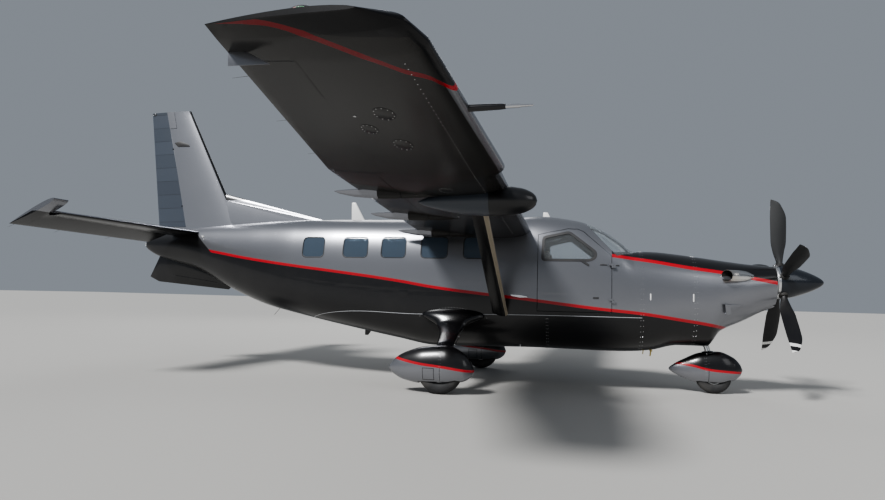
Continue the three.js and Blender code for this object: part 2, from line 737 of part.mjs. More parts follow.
// Landing gear
function legBlank(rows, grow) {
  return skin(rows.length, 12, (ring, turn) => {
    const before = rows[Math.max(0, ring - 1)];
    const after = rows[Math.min(rows.length - 1, ring + 1)];
    const run = new THREE.Vector2(after.y - before.y, after.z - before.z).normalize();
    const row = rows[ring];
    const angle = turn * 2 * Math.PI;
    const middle = (row.front + row.rear) / 2;
    const along = ((row.rear - row.front) / 2 + grow) * Math.cos(angle);
    const across = (row.half + grow) * Math.sin(angle);
    return at(middle + along, row.y - run.y * across, row.z + run.x * across);
  });
}
const wheelHeight = (wheel) => wheel.radius * Math.cos(Math.PI / wheel.sides);
const MAIN_Z = wheelHeight(MAIN);
const NOSE_Z = wheelHeight(NOSE);

function tyre(wheel) {
  const h = wheel.width / 2;
  const R = wheel.radius;
  const side = R - wheel.rim;
  const half = [
    [wheel.rim, 0.7 * h],
    [wheel.rim + 0.3 * side, 0.96 * h],
    [wheel.rim + 0.65 * side, h],
    [0.95 * R, 0.72 * h],
    [R, 0.3 * h],
  ];
  const near = half.map(([r, w]) => [r, -w]);
  const profile = [...near, ...half.reverse(), near[0]];
  return turned(profile, wheel.sides, wheel.s, wheel.y, wheelHeight(wheel));
}
function hub(wheel) {
  const h = wheel.width / 2;
  const rim = wheel.rim * Math.cos(Math.PI / wheel.sides) - SEAT_GAP;
  const bore = AXLE + HUB_GAP;
  const profile = [
    [bore, -0.5 * h], [0.45 * rim, -0.4 * h], [0.8 * rim, -0.25 * h], [0.9 * rim, -0.7 * h],
    [rim, -0.7 * h], [rim, 0.7 * h], [0.9 * rim, 0.7 * h], [0.8 * rim, 0.25 * h],
    [0.45 * rim, 0.4 * h], [bore, 0.5 * h], [bore, -0.5 * h],
  ];
  return turned(profile, 12, wheel.s, wheel.y, wheelHeight(wheel));
}

function pantBlank(rows, y, wall) {
  return skin(rows.length, 16, (ring, turn) => {
    const row = rows[ring];
    const wide = row.base + 0.42 * (row.top - row.base);
    const slim = Math.min(wall, row.half * 0.5, (row.top - row.base) * 0.3);
    const inset = wall === 0 ? 0 : slim;
    const nudge = wall === 0 ? 0 : (ring === 0 ? 1 : ring === rows.length - 1 ? -1 : 0) * wall;
    const p = squarish(turn, row.half - inset, row.top - inset, row.base + inset, wide, 2.1, 2.2);
    return at(row.s + nudge, y + p.y, p.z);
  });
}
function pant(rows, wheel, side) {
  const y = wheel.y * side;
  const shell = pantBlank(rows, y, 0).subtract(pantBlank(rows, y, PANT_WALL));
  const halfWidth = wheel.width / 2 + 14;
  const reach = wheel.radius * 0.93;
  const mouth = box(wheel.s - reach, wheel.s + reach, y - halfWidth, y + halfWidth, 0, 175);
  const [R, w] = [wheel.radius, wheel.width / 2];
  const wellSides = 14;
  const spread = 1 / Math.cos(Math.PI / wellSides);
  const half = [[0.8 * R, w + 9], [0.96 * R + 8, 0.72 * w + 8], [R + 8, 0.3 * w + 6]];
  const corners = [[0, w + 9], ...half.map(([r, across]) => [r * spread, across])];
  const wellProfile = [...corners.map(([r, across]) => [r, -across]), ...corners.reverse()];
  const well = turned(wellProfile, wellSides, wheel.s, y, wheelHeight(wheel));
  return shell.subtract(mouth).subtract(well);
}

const mainAxle = rod(at(MAIN.s, 1478, MAIN_Z), at(MAIN.s, MAIN.y + 66, MAIN_Z), AXLE, 16);
const mainLeg = legBlank(MAIN_LEG, 0).add(mainAxle).subtract(bodyFit);
const mainPant = pant(MAIN_PANT, MAIN, 1).subtract(legBlank(MAIN_LEG, 0.5));

// Nose leg, raked, with its fork and axle
const steerPoint = (z, y = 0) => at(STEER.s + STEER.rake * (z - STEER.z), y, z);
const noseStrut = rod(steerPoint(FORK.top + 2), steerPoint(STEER.top), STEER.radius, 16);
const forkArm = (side) => {
  const crown = steerPoint(FORK.top - 2, side * FORK.crown);
  const shoulder = steerPoint(FORK.shoulder, side * FORK.y);
  const knee = steerPoint(FORK.shoulder + 8, side * FORK.y);
  const foot = at(NOSE.s, side * (FORK.y - 10), NOSE_Z - 12);
  return rod(crown, shoulder, FORK.radius, 10).add(rod(knee, foot, FORK.radius, 10));
};
const forkMiddle = STEER.s + STEER.rake * (FORK.top - STEER.z);
const forkHalf = FORK.crown + 10;
const forkBridge = box(forkMiddle - 36, forkMiddle + 36, -forkHalf, forkHalf, FORK.top - 16, FORK.top + 8);
const noseAxle = rod(at(NOSE.s, 10 - FORK.y, NOSE_Z), at(NOSE.s, FORK.y - 10, NOSE_Z), AXLE, 16);
const noseLeg = join([noseStrut, forkArm(1), forkArm(-1), forkBridge, noseAxle]);
const strutFit = rod(steerPoint(450), steerPoint(STEER.top + 30), STEER.radius + 0.5, 16);
const nosePant = pant(NOSE_PANT, NOSE, 1).subtract(strutFit);
const strutHole = rod(steerPoint(560), steerPoint(STEER.top + 60), STEER.radius + 26, 12);

// Engine block with its mount tubes and the nose leg's trunnion
const engineCore = rod(at(ENGINE.front, 0, HUB_HEIGHT), at(ENGINE.rear, 0, HUB_HEIGHT), ENGINE.radius, 16);
const mountTubes = [[1, 1], [1, -1], [-1, 1], [-1, -1]].map(([side, rise]) =>
  rod(
    at(ENGINE.rear - 120, side * 110, HUB_HEIGHT + rise * 100 - 20),
    at(FIREWALL - SEAT_GAP - 6, side * 380, HUB_HEIGHT - 120 + rise * 300),
    22,
    8,
  ),
);
const engineSpace = slab(600, FIREWALL - SEAT_GAP);
const sleeve = rod(steerPoint(STEER.top - 130), steerPoint(STEER.top + 40), STEER.radius + 24, 14);
const sleeveEnd = steerPoint(STEER.top + SEAT_GAP);
const sleeveBore = rod(steerPoint(STEER.top - 200), sleeveEnd, STEER.radius + BORE_GAP, 16);
const gearPost = rod(at(1690, 0, HUB_HEIGHT - 150), steerPoint(STEER.top + 25), 40, 12);
const engine = join([engineCore, ...mountTubes, sleeve, gearPost])
  .intersect(engineSpace)
  .subtract(sleeveBore);

// Propeller with feathered blades
function blade(angle) {
  const geometry = skin(BLADE.length, BLADE_SIDES, (ring, turn) => {
    const row = BLADE[ring];
    const { f, side } = foil(turn, BLADE_SIDES);
    const round = ring === 0;
    const along = round ? Math.cos(turn * 2 * Math.PI) * row.aft : f * (row.fore + row.aft) - row.fore;
    const across = round
      ? Math.sin(turn * 2 * Math.PI) * row.thick / 2
      : side * Math.sin(Math.PI * Math.min(1, f * 1.02) ** 0.7) ** 0.8 * row.thick / 2;
    const c = Math.cos(row.turn);
    const d = Math.sin(row.turn);
    const tipCut = ring === BLADE.length - 1 ? -BLADE_TIP_CUT * (1 - f) : 0;
    return new THREE.Vector3(-(along * d + across * c), along * c - across * d, row.r + tipCut);
  });
  const swung = geometry.rotate([(angle * 180) / Math.PI, 0, 0]);
  return moved(swung, x(PROP_STATION - 24), 0, HUB_HEIGHT);
}
const bladeAngles = Array.from({ length: BLADES }, (_, i) => BLADE_PHASE + (i * 2 * Math.PI) / BLADES);
const blades = bladeAngles.map(blade);
const hubBarrel = rod(
  at(HUB_BARREL.front, 0, HUB_HEIGHT),
  at(SPINNER.back + SPINNER.plate, 0, HUB_HEIGHT),
  HUB_BARREL.radius,
);
const shaft = rod(
  at(SPINNER.back, 0, HUB_HEIGHT),
  at(ENGINE.front - SEAT_GAP, 0, HUB_HEIGHT),
  SHAFT_RADIUS,
  14,
);
function spinnerBlank(grow) {
  const [shift, open] = grow < 0 ? [12, 20] : [0, 0];
  const profile = SPINNER.profile.map(([s, r]) => new THREE.Vector2(Math.max(0, r + grow), -(s + shift)));
  profile.push(new THREE.Vector2(0, -SPINNER.back - open));
  const shape = new THREE.LatheGeometry(profile, 20);
  shape.rotateZ(-Math.PI / 2);
  shape.translate(LENGTH / 2, 0, HUB_HEIGHT);
  return solid(shape);
}
const spinnerInside = spinnerBlank(-SPINNER.wall - 0.6);
const backPlate = spinnerInside.intersect(slab(SPINNER.back - SPINNER.plate, SPINNER.back));
const propeller = join([hubBarrel, backPlate, shaft, ...blades]);
const bladeHoles = bladeAngles.map((angle) => {
  const out = new THREE.Vector3(0, -Math.sin(angle), Math.cos(angle));
  const centre = at(PROP_STATION - 24, 0, HUB_HEIGHT);
  return rod(centre, centre.clone().addScaledVector(out, 400), BLADE_HOLE, 8);
});
const spinner = spinnerBlank(0).subtract(spinnerBlank(-SPINNER.wall)).subtract(join(bladeHoles));

// Exhaust stacks at the cowl's sides
function exhaustBlank(grow) {
  return skin(EXHAUST.length, 12, (ring, turn) => {
    const row = EXHAUST[ring];
    const radius = row.r + grow;
    const angle = turn * 2 * Math.PI;
    return at(row.s, row.y + radius * 0.8 * Math.cos(angle), EXHAUST_HEIGHT + radius * Math.sin(angle));
  });
}
const exhaustMouth = exhaustBlank(-6).intersect(slab(1250, 1600)).add(
  rod(at(1440, 510, EXHAUST_HEIGHT), at(1480, 516, EXHAUST_HEIGHT), 62, 16),
);
const exhaust = exhaustBlank(0).subtract(exhaustMouth).subtract(bodyFit);

// Cowl
const cowlShell = bodyOuter.subtract(body(-COWL_WALL));
const cowlNoseWall = body(-COWL_WALL).intersect(slab(COWL_FRONT, COWL_FRONT + 20));
const shaftHole = rod(at(600, 0, HUB_HEIGHT), at(760, 0, HUB_HEIGHT), 92, 14);
const inlet = prism([[600, 1318], [600, 1402], [860, 1402], [860, 1318]], -150, 150);
const cowlFront = cowlShell
  .add(cowlNoseWall)
  .intersect(slab(COWL_FRONT - 5, COWL_SPLIT - SEAT_GAP))
  .subtract(shaftHole)
  .subtract(inlet)
  .subtract(strutHole);
const cowlRear = cowlShell.intersect(slab(COWL_SPLIT, FIREWALL - SEAT_GAP));

// Cabin
const podOutline = [...POD_SEAM, [8400, 700], [8400, 300], [FIREWALL, 300]];
const podSpace = prism(podOutline, -FAR, FAR);
const seamLine = POD_SEAM.map(([s, z]) => [s, z + SEAT_GAP]);
const seamAbove = prism([...seamLine, [9000, 880], [9000, 3200], [FIREWALL, 3200]], -FAR, FAR);
const inner = body(-WALL);
const cabinRoom = inner.intersect(slab(FIREWALL + BULKHEAD, CABIN_END - BULKHEAD));
const cabinRing = bodyOuter.intersect(slab(FIREWALL, CABIN_END)).intersect(seamAbove).subtract(cabinRoom);

function inset(outline, gap) {
  const n = outline.length;
  const area = outline.reduce((sum, [s, z], i) => {
    const [s2, z2] = outline[(i + 1) % n];
    return sum + s * z2 - s2 * z;
  }, 0);
  const way = area > 0 ? 1 : -1;
  return outline.map((corner, i) => {
    const before = outline[(i + n - 1) % n];
    const after = outline[(i + 1) % n];
    const edge = ([a0, a1], [b0, b1]) => new THREE.Vector2(b0 - a0, b1 - a1).normalize();
    const e1 = edge(before, corner);
    const e2 = edge(corner, after);
    const n1 = new THREE.Vector2(-e1.y * way, e1.x * way);
    const n2 = new THREE.Vector2(-e2.y * way, e2.x * way);
    const bisector = n1.clone().add(n2).normalize();
    const reach = gap / bisector.dot(n1);
    return [corner[0] + bisector.x * reach, corner[1] + bisector.y * reach];
  });
}

function windowOutline({ front, rear }, gap) {
  const [a, b, c, d] = [front + gap, rear - gap, WINDOW_BASE + gap, WINDOW_TOP - gap];
  const r = WINDOW_CORNER - gap;
  const corners = [[b - r, c + r, -90], [b - r, d - r, 0], [a + r, d - r, 90], [a + r, c + r, 180]];
  const steps = [0, 45, 90];
  return corners.flatMap(([cs, cz, start]) =>
    steps.map((step) => {
      const angle = ((start + step) * Math.PI) / 180;
      return [cs + r * Math.cos(angle), cz + r * Math.sin(angle)];
    }),
  );
}
const sideHoles = (side, gap) => {
  const [y0, y1] = side > 0 ? [400, 900] : [-900, -400];
  return WINDOWS.map((window) => prism(windowOutline(window, gap), y0, y1));
};
const skinLayer = (depth, thick) => body(-depth).subtract(body(-depth - thick));
const paneLayer = skinLayer(GLASS_DEPTH, GLASS);

const cargoFrame = (gap, base, top, rearGap = gap) => [
  [CARGO.front + gap, base],
  [CARGO.front + gap, top],
  [CARGO.rear - rearGap, top],
  [CARGO.rear - rearGap, base],
];
const cargoHole = prism(cargoFrame(0, CARGO.base, CARGO.top), 300, 900);
const crewHole = (side, gap) => {
  const [y0, y1] = side > 0 ? [300, 900] : [-900, -300];
  return prism(inset(CREW_DOOR, gap), y0, y1);
};
const crewGlassHole = (side, gap) => {
  const [y0, y1] = side > 0 ? [300, 900] : [-900, -300];
  return prism(inset(CREW_GLASS, gap), y0, y1);
};
const windshieldHole = (side, gap) => {
  const near = CENTRE_POST + gap;
  const [y0, y1] = side > 0 ? [near, 900] : [-900, -near];
  return prism(inset(WINDSHIELD, gap), y0, y1);
};

const holesLeft = sideHoles(1, 0);
const fixedLeft = holesLeft.slice(0, 3);
const doorLeft = holesLeft.slice(3);
const cabinShell = cabinRing
  .subtract(join([...sideHoles(-1, 0), ...fixedLeft]))
  .subtract(cargoHole)
  .subtract(crewHole(1, 0))
  .subtract(crewHole(-1, 0))
  .subtract(windshieldHole(1, 0))
  .subtract(windshieldHole(-1, 0));

const cargoSkin = bodyOuter.subtract(inner);
const cargoUpper = cargoSkin
  .intersect(prism(cargoFrame(DOOR_GAP, CARGO.split + DOOR_GAP / 2 + 1, CARGO.top - DOOR_GAP), 300, 900))
  .subtract(join(doorLeft));
const lowerTop = CARGO.split - DOOR_GAP / 2 - 1;
const lowerFrame = cargoFrame(DOOR_GAP, CARGO.base + DOOR_GAP, lowerTop, LOWER_DOOR_REAR_GAP);
const cargoLower = cargoSkin
  .intersect(prism(lowerFrame, 300, 900));

// Door knuckles: an eye on the door over an eye with a pin on the body
const crewEyes = CREW_KNUCKLES.heights.map((z) => {
  const pin = at(CREW_KNUCKLES.s, CREW_KNUCKLES.y, z);
  const [s, y] = [CREW_KNUCKLES.s, CREW_KNUCKLES.y];
  return {
    fixed: join([
      box(s - 45, s, y - 44, y + 8, z - 33, z - 2),
      pinAlong(pin, UP, -34, -1, 12),
      pinAlong(pin, UP, -20, 28, HINGE.pin),
    ]),
    door: join([
      pinAlong(pin, UP, 0, 30, 12),
      box(s, s + 48, y - 6, y + 8, z + 1, z + 29),
      box(s + 22, s + 47, y - 50, y, z + 2, z + 28),
    ]).subtract(pinAlong(pin, UP, -5, 40, HINGE.bore)),
  };
});
const crewHinges = (side, part) => {
  const whole = join(crewEyes.map((eye) => eye[part]));
  return side > 0 ? whole : mirrored(whole);
};

// A cargo door's knuckles; reach gives the points in the body and in the door that carry them
function cargoEyes(axis, bodyReach, doorReach) {
  const [front, rear] = [at(...axis.front), at(...axis.rear)];
  const line = rear.clone().sub(front).normalize();
  return axis.knuckles.map((s) => {
    const t = (s - axis.front[0]) / (axis.rear[0] - axis.front[0]);
    const pin = front.clone().lerp(rear, t);
    const arm = (shift, [y, z]) => {
      const start = pin.clone().addScaledVector(line, shift);
      const foot = new THREE.Vector3(start.x, start.y + y, start.z + z);
      return rod(start, foot, 9, 6);
    };
    const fixed = join([
      pinAlong(pin, line, 1, 29, 11),
      pinAlong(pin, line, -28, 20, HINGE.pin),
      arm(15, bodyReach),
    ]);
    const door = join([
      pinAlong(pin, line, -29, 0, 11),
      arm(-15, doorReach),
    ]).subtract(pinAlong(pin, line, -34, 5, HINGE.bore));
    return { fixed, door };
  });
}
const upperEyes = cargoEyes(CARGO_UPPER_AXIS, [-62, 34], [-50, -40]);
const lowerEyes = cargoEyes(CARGO_LOWER_AXIS, [-62, -40], [-62, 40]);
const allEyes = (eyes, part) => join(eyes.map((eye) => eye[part]));

const crewDoor = (side) => cargoSkin
  .intersect(crewHole(side, DOOR_GAP))
  .subtract(crewGlassHole(side, 0))
  .add(crewHinges(side, 'door'));
const cabinWithHinges = cabinShell
  .add(join([crewHinges(1, 'fixed'), crewHinges(-1, 'fixed')]))
  .add(join([allEyes(upperEyes, 'fixed'), allEyes(lowerEyes, 'fixed')]));

// Panes, each row of side windows on one carrying strip inside the wall
function glazing(side, first, last) {
  const [y0, y1] = side > 0 ? [400, 900] : [-900, -400];
  const strip = body(-WALL - 1).subtract(body(-WALL - 7)).intersect(
    box(WINDOWS[first].front - 30, WINDOWS[last - 1].rear + 30, y0, y1, WINDOW_BASE - 25, WINDOW_TOP + 25),
  );
  const panes = sideHoles(side, SEAT_GAP).slice(first, last).map((hole) =>
    body(-GLASS_DEPTH).subtract(body(-WALL - 7)).intersect(hole),
  );
  return join([strip, ...panes]);
}

// Floor, panel and seats
const floorPlate = box(
  FIREWALL + BULKHEAD + 1,
  CABIN_END - BULKHEAD - 1,
  -FAR,
  FAR,
  FLOOR_BASE,
  FLOOR_TOP,
);
const floor = body(-WALL - SEAT_GAP).intersect(floorPlate);
const panelOutline = [
  [2740, 1700], [2640, 2010], [2700, 2050], [2930, 2040], [2960, 2000], [2900, 1560], [2840, 1560],
];
const panel = prism(panelOutline, -600, 600)
  .add(box(2700, 2900, -110, 110, FLOOR_TOP + SEAT_GAP, 1720))
  .intersect(body(-WALL - 6).intersect(slab(FIREWALL + 26, 4000)));

function seat(s, y, back) {
  const base = box(s - 190, s + 190, y - 180, y + 180, FLOOR_TOP + SEAT_GAP, FLOOR_TOP + 210);
  const cushion = box(s - 250, s + 230, y - 225, y + 225, FLOOR_TOP + 200, FLOOR_TOP + 330);
  const rest = prism(
    [[s + 130, FLOOR_TOP + 300], [s + 240, back], [s + 340, back], [s + 250, FLOOR_TOP + 300]],
    y - 220,
    y + 220,
  );
  const head = box(s + 240, s + 330, y - 120, y + 120, back - 20, back + 150);
  return join([base, cushion, rest, head]);
}
const railBase = FLOOR_TOP + SEAT_GAP;
const railTop = FLOOR_TOP + RAIL.height;
const rails = [-SEAT_Y, SEAT_Y].map((y) =>
  box(RAIL.front, RAIL.rear, y - RAIL.half, y + RAIL.half, railBase, railTop),
);
const railTies = CABIN_SEATS.map((s) => box(s - 30, s + 30, -SEAT_Y, SEAT_Y, railBase, railTop));
const cabinSeats = join([
  ...rails,
  ...railTies,
  ...CABIN_SEATS.flatMap((s) => [seat(s, SEAT_Y, SEAT_BACK), seat(s, -SEAT_Y, SEAT_BACK)]),
]);

const tailCone = bodyOuter
  .subtract(body(-TAIL_WALL))
  .intersect(slab(CABIN_END + SEAT_GAP, TAIL_END + 10))
  .subtract(pinAlong(at(TAIL_HINGE, 0, TAIL_HEIGHT), ACROSS, -400, 400, TORQUE_TUBE + 1.2, 16));

piece('cowl_front', cowlFront, SILVER, 0.35, 0.6);
piece('cowl_rear', cowlRear, SILVER, 0.35, 0.6);
piece('cabin_shell', cabinWithHinges, SILVER, 0.35, 0.6);
piece('tail_cone', tailCone, SILVER, 0.35, 0.6);
piece('belly_pod', bodyOuter.intersect(podSpace), BLACK, 0.2, 0.1);
piece('cabin_floor', floor, CARPET, 0.9, 0);
piece('instrument_panel', panel, CARPET, 0.8, 0);
piece('crew_seat_left', seat(CREW_SEAT, SEAT_Y, SEAT_BACK), LEATHER, 0.7, 0);
piece('crew_seat_right', seat(CREW_SEAT, -SEAT_Y, SEAT_BACK), LEATHER, 0.7, 0);
piece('cabin_seats', cabinSeats, LEATHER, 0.7, 0);
piece('crew_door_left', crewDoor(1), SILVER, 0.35, 0.6);
piece('crew_door_right', crewDoor(-1), SILVER, 0.35, 0.6);
piece('crew_door_glass_left', paneLayer.intersect(crewGlassHole(1, SEAT_GAP)), CLEAR_GLASS, 0.05, 0);
piece('crew_door_glass_right', paneLayer.intersect(crewGlassHole(-1, SEAT_GAP)), CLEAR_GLASS, 0.05, 0);
piece('cargo_door_upper', cargoUpper.add(allEyes(upperEyes, 'door')), SILVER, 0.35, 0.6);
piece('cargo_door_lower', cargoLower.add(allEyes(lowerEyes, 'door')), SILVER, 0.35, 0.6);
piece('cargo_door_windows', glazing(1, 3, 5), TINT, 0.05, 0);
piece('windshield_left', paneLayer.intersect(windshieldHole(1, SEAT_GAP)), CLEAR_GLASS, 0.05, 0);
piece('windshield_right', paneLayer.intersect(windshieldHole(-1, SEAT_GAP)), CLEAR_GLASS, 0.05, 0);
piece('cabin_windows_right', glazing(-1, 0, 5), TINT, 0.05, 0);
piece('cabin_windows_left', glazing(1, 0, 3), TINT, 0.05, 0);

for (const [name, side] of [['left', 1], ['right', -1]]) {
  const onSide = (manifold) => (side > 0 ? manifold : mirrored(manifold));
  piece(`wing_${name}`, onSide(wing), BLACK, 0.2, 0.2);
  piece(`flap_${name}`, onSide(flap), BLACK, 0.2, 0.2);
  piece(`aileron_${name}`, onSide(aileron), BLACK, 0.2, 0.2);
  piece(`wing_strut_${name}`, onSide(strut), BLACK, 0.3, 0.2);
  piece(`stabiliser_${name}`, onSide(stabiliser), SLATE, 0.3, 0.3);
  piece(`exhaust_${name}`, onSide(exhaust), STEEL, 0.15, 1);
  piece(`main_leg_${name}`, onSide(mainLeg), BLACK, 0.25, 0.2);
  piece(`main_pant_${name}`, onSide(mainPant), BLACK, 0.2, 0.2);
  piece(`main_tyre_${name}`, onSide(tyre(MAIN)), RUBBER, 0.9, 0);
  piece(`main_hub_${name}`, onSide(hub(MAIN)), STEEL, 0.35, 0.9);
}

const wingRight = mirrored(wing);
const wingRightFit = wingRight.add(moved(wingRight, 0, 0, -0.4));
piece('radar_pod', radarPod().subtract(wingRightFit), BLACK, 0.2, 0);
const boomPlace = wingPlace(-BOOM.y, 0.02);
const boomHeight = boomPlace.z - BOOM.drop;
const boom = rod(at(BOOM.front, BOOM.y, boomHeight), at(BOOM.rear + 60, BOOM.y, boomHeight), BOOM.radius);
piece('pitot_boom', boom.subtract(wingRight.add(moved(wingRight, 0.4, 0, 0))), STEEL, 0.3, 0.8);

piece('fin', fin, SILVER, 0.35, 0.6);
piece('rudder', rudder, SLATE, 0.4, 0.3);
piece('ventral_fin', ventral, BLACK, 0.3, 0.2);
piece('engine_block', engine, STEEL, 0.5, 0.8);
piece('propeller', propeller, SLATE, 0.4, 0.3);
piece('spinner', spinner, SLATE, 0.3, 0.3);
piece('nose_leg', noseLeg, STEEL, 0.2, 1);
piece('nose_pant', nosePant, BLACK, 0.2, 0.2);
piece('nose_tyre', tyre(NOSE), RUBBER, 0.9, 0);
piece('nose_hub', hub(NOSE), STEEL, 0.35, 0.9);

const group = new THREE.Group();
group.add(...meshes);

// The parked elevator hangs trailing edge down about its hinge
const elevatorShape = geometryOf(elevator);
elevatorShape.translate(-x(TAIL_HINGE), 0, -TAIL_HEIGHT);
const elevatorMesh = new THREE.Mesh(
  elevatorShape,
  new THREE.MeshStandardMaterial({ color: SLATE, roughness: 0.3, metalness: 0.3 }),
);
elevatorMesh.name = 'elevator';
elevatorMesh.position.set(x(TAIL_HINGE), 0, TAIL_HEIGHT);
elevatorMesh.rotation.y = -ELEVATOR_DROOP;
group.add(elevatorMesh);

export default group;
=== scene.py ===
"""Dresses a packed single-engine turboprop plane: smooth skins, paint, glass, gear and cabin."""
import json
import math
from collections import namedtuple
from functools import partial

import bmesh
import bpy
import numpy as np
from mathutils import Matrix, Vector

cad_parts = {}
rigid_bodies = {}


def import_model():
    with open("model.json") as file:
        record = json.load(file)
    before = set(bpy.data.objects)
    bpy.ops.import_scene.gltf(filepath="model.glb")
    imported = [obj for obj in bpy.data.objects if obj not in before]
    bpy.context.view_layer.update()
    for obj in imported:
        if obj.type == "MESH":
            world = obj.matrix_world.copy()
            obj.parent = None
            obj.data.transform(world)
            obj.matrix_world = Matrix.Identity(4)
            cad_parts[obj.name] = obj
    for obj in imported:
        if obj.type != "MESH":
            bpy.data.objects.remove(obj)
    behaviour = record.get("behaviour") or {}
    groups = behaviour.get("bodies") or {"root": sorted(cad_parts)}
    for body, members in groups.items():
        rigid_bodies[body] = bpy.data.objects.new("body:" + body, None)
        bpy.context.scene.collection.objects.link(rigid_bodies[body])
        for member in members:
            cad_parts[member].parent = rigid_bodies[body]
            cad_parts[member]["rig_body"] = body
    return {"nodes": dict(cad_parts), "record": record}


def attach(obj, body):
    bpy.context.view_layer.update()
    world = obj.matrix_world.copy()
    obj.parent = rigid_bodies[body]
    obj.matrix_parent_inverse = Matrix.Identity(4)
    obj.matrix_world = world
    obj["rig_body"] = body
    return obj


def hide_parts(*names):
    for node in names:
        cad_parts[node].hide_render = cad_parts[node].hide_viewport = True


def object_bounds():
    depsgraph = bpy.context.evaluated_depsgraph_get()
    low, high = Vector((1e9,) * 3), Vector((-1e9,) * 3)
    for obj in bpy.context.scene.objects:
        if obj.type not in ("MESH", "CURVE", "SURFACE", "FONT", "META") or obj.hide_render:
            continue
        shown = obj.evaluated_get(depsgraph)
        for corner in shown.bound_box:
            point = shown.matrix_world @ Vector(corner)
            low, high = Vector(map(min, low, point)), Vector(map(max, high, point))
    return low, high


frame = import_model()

bl_info = {
    "name": "Turboprop plane",
    "version": (1, 0, 0),
    "blender": (4, 5, 0),
    "location": "3D View > Sidebar > Plane",
    "description": "Builds the looks of a high-wing turboprop plane around its packed solids",
    "category": "Object",
}

CAD_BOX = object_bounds()
NOSE_TIP = CAD_BOX[1].x
NODES = frame["nodes"]
SIDES = ((1, "left"), (-1, "right"))

# Body sections in metres: distance aft of the spinner tip, top, base, half width,
# height of the widest line, and how square the upper and lower halves are
Section = namedtuple("Section", "s top base half wide up low")
BODY = [Section(*row) for row in (
    (0.680, 1.890, 1.290, 0.268, 1.620, 2.1, 2.1),
    (0.835, 1.902, 1.225, 0.322, 1.600, 2.1, 2.1),
    (1.090, 1.928, 1.085, 0.402, 1.560, 2.2, 2.2),
    (1.420, 1.972, 0.915, 0.474, 1.500, 2.4, 2.2),
    (1.600, 1.998, 0.690, 0.505, 1.460, 2.5, 2.2),
    (2.010, 2.054, 0.688, 0.574, 1.420, 2.7, 2.3),
    (2.390, 2.090, 0.602, 0.630, 1.400, 2.9, 2.5),
    (2.650, 2.094, 0.574, 0.662, 1.400, 3.0, 2.6),
    (2.850, 2.250, 0.566, 0.684, 1.400, 3.0, 2.7),
    (3.140, 2.440, 0.563, 0.706, 1.400, 3.1, 2.8),
    (3.520, 2.570, 0.568, 0.724, 1.400, 3.3, 2.9),
    (4.080, 2.638, 0.570, 0.738, 1.400, 3.4, 3.0),
    (4.730, 2.588, 0.557, 0.742, 1.400, 3.4, 3.0),
    (5.700, 2.590, 0.536, 0.742, 1.400, 3.4, 3.0),
    (6.350, 2.594, 0.632, 0.738, 1.420, 3.4, 2.9),
    (7.360, 2.604, 0.808, 0.716, 1.500, 3.3, 2.8),
    (8.130, 2.604, 0.953, 0.650, 1.600, 3.1, 2.6),
    (8.800, 2.588, 1.095, 0.548, 1.740, 2.8, 2.4),
    (9.540, 2.548, 1.360, 0.418, 1.900, 2.5, 2.2),
    (10.300, 2.492, 1.706, 0.272, 2.080, 2.3, 2.1),
    (10.900, 2.424, 1.868, 0.150, 2.170, 2.2, 2.0),
    (11.260, 2.352, 1.972, 0.092, 2.180, 2.0, 2.0),
    (11.450, 2.290, 2.066, 0.050, 2.180, 2.0, 2.0),
    (11.511, 2.236, 2.112, 0.026, 2.174, 2.0, 2.0),
)]
BODY_SIDES = 24

# Wheel pant sections: distance aft, half width, top and base
Pant = namedtuple("Pant", "s half top base")
MAIN_PANT = [Pant(*row) for row in (
    (4.808, 0.014, 0.350, 0.322),
    (4.840, 0.064, 0.424, 0.256),
    (4.950, 0.142, 0.556, 0.182),
    (5.200, 0.188, 0.662, 0.134),
    (5.500, 0.180, 0.636, 0.128),
    (5.780, 0.126, 0.548, 0.164),
    (5.940, 0.066, 0.448, 0.236),
    (6.012, 0.014, 0.350, 0.306),
)]
NOSE_PANT = [Pant(*row) for row in (
    (1.100, 0.012, 0.372, 0.346),
    (1.128, 0.054, 0.440, 0.280),
    (1.230, 0.118, 0.545, 0.196),
    (1.430, 0.152, 0.618, 0.134),
    (1.660, 0.148, 0.596, 0.138),
    (1.920, 0.088, 0.484, 0.212),
    (2.090, 0.026, 0.380, 0.296),
    (2.122, 0.006, 0.346, 0.328),
)]
PANT_SIDES = 16

# Wheels: distance aft, distance from the centre line, tyre radius and width, rim radius
Wheel = namedtuple("Wheel", "s y radius width rim")
MAIN_WHEEL = Wheel(5.280, 1.627, 0.3123, 0.216, 0.150)
NOSE_WHEEL = Wheel(1.500, 0.0, 0.2489, 0.170, 0.112)
AXLE = 0.028

# Main leg sections from the body outwards: place across, height, front, rear, half thickness
Leg = namedtuple("Leg", "y z front rear half")
MAIN_LEG = [Leg(*row) for row in (
    (0.560, 1.085, 4.825, 5.815, 0.080),
    (0.740, 1.040, 4.835, 5.805, 0.105),
    (0.890, 0.895, 5.100, 5.530, 0.070),
    (1.100, 0.775, 5.155, 5.435, 0.042),
    (1.400, 0.640, 5.155, 5.395, 0.030),
    (1.466, 0.560, 5.185, 5.375, 0.024),
    (1.480, 0.270, 5.220, 5.340, 0.020),
)]

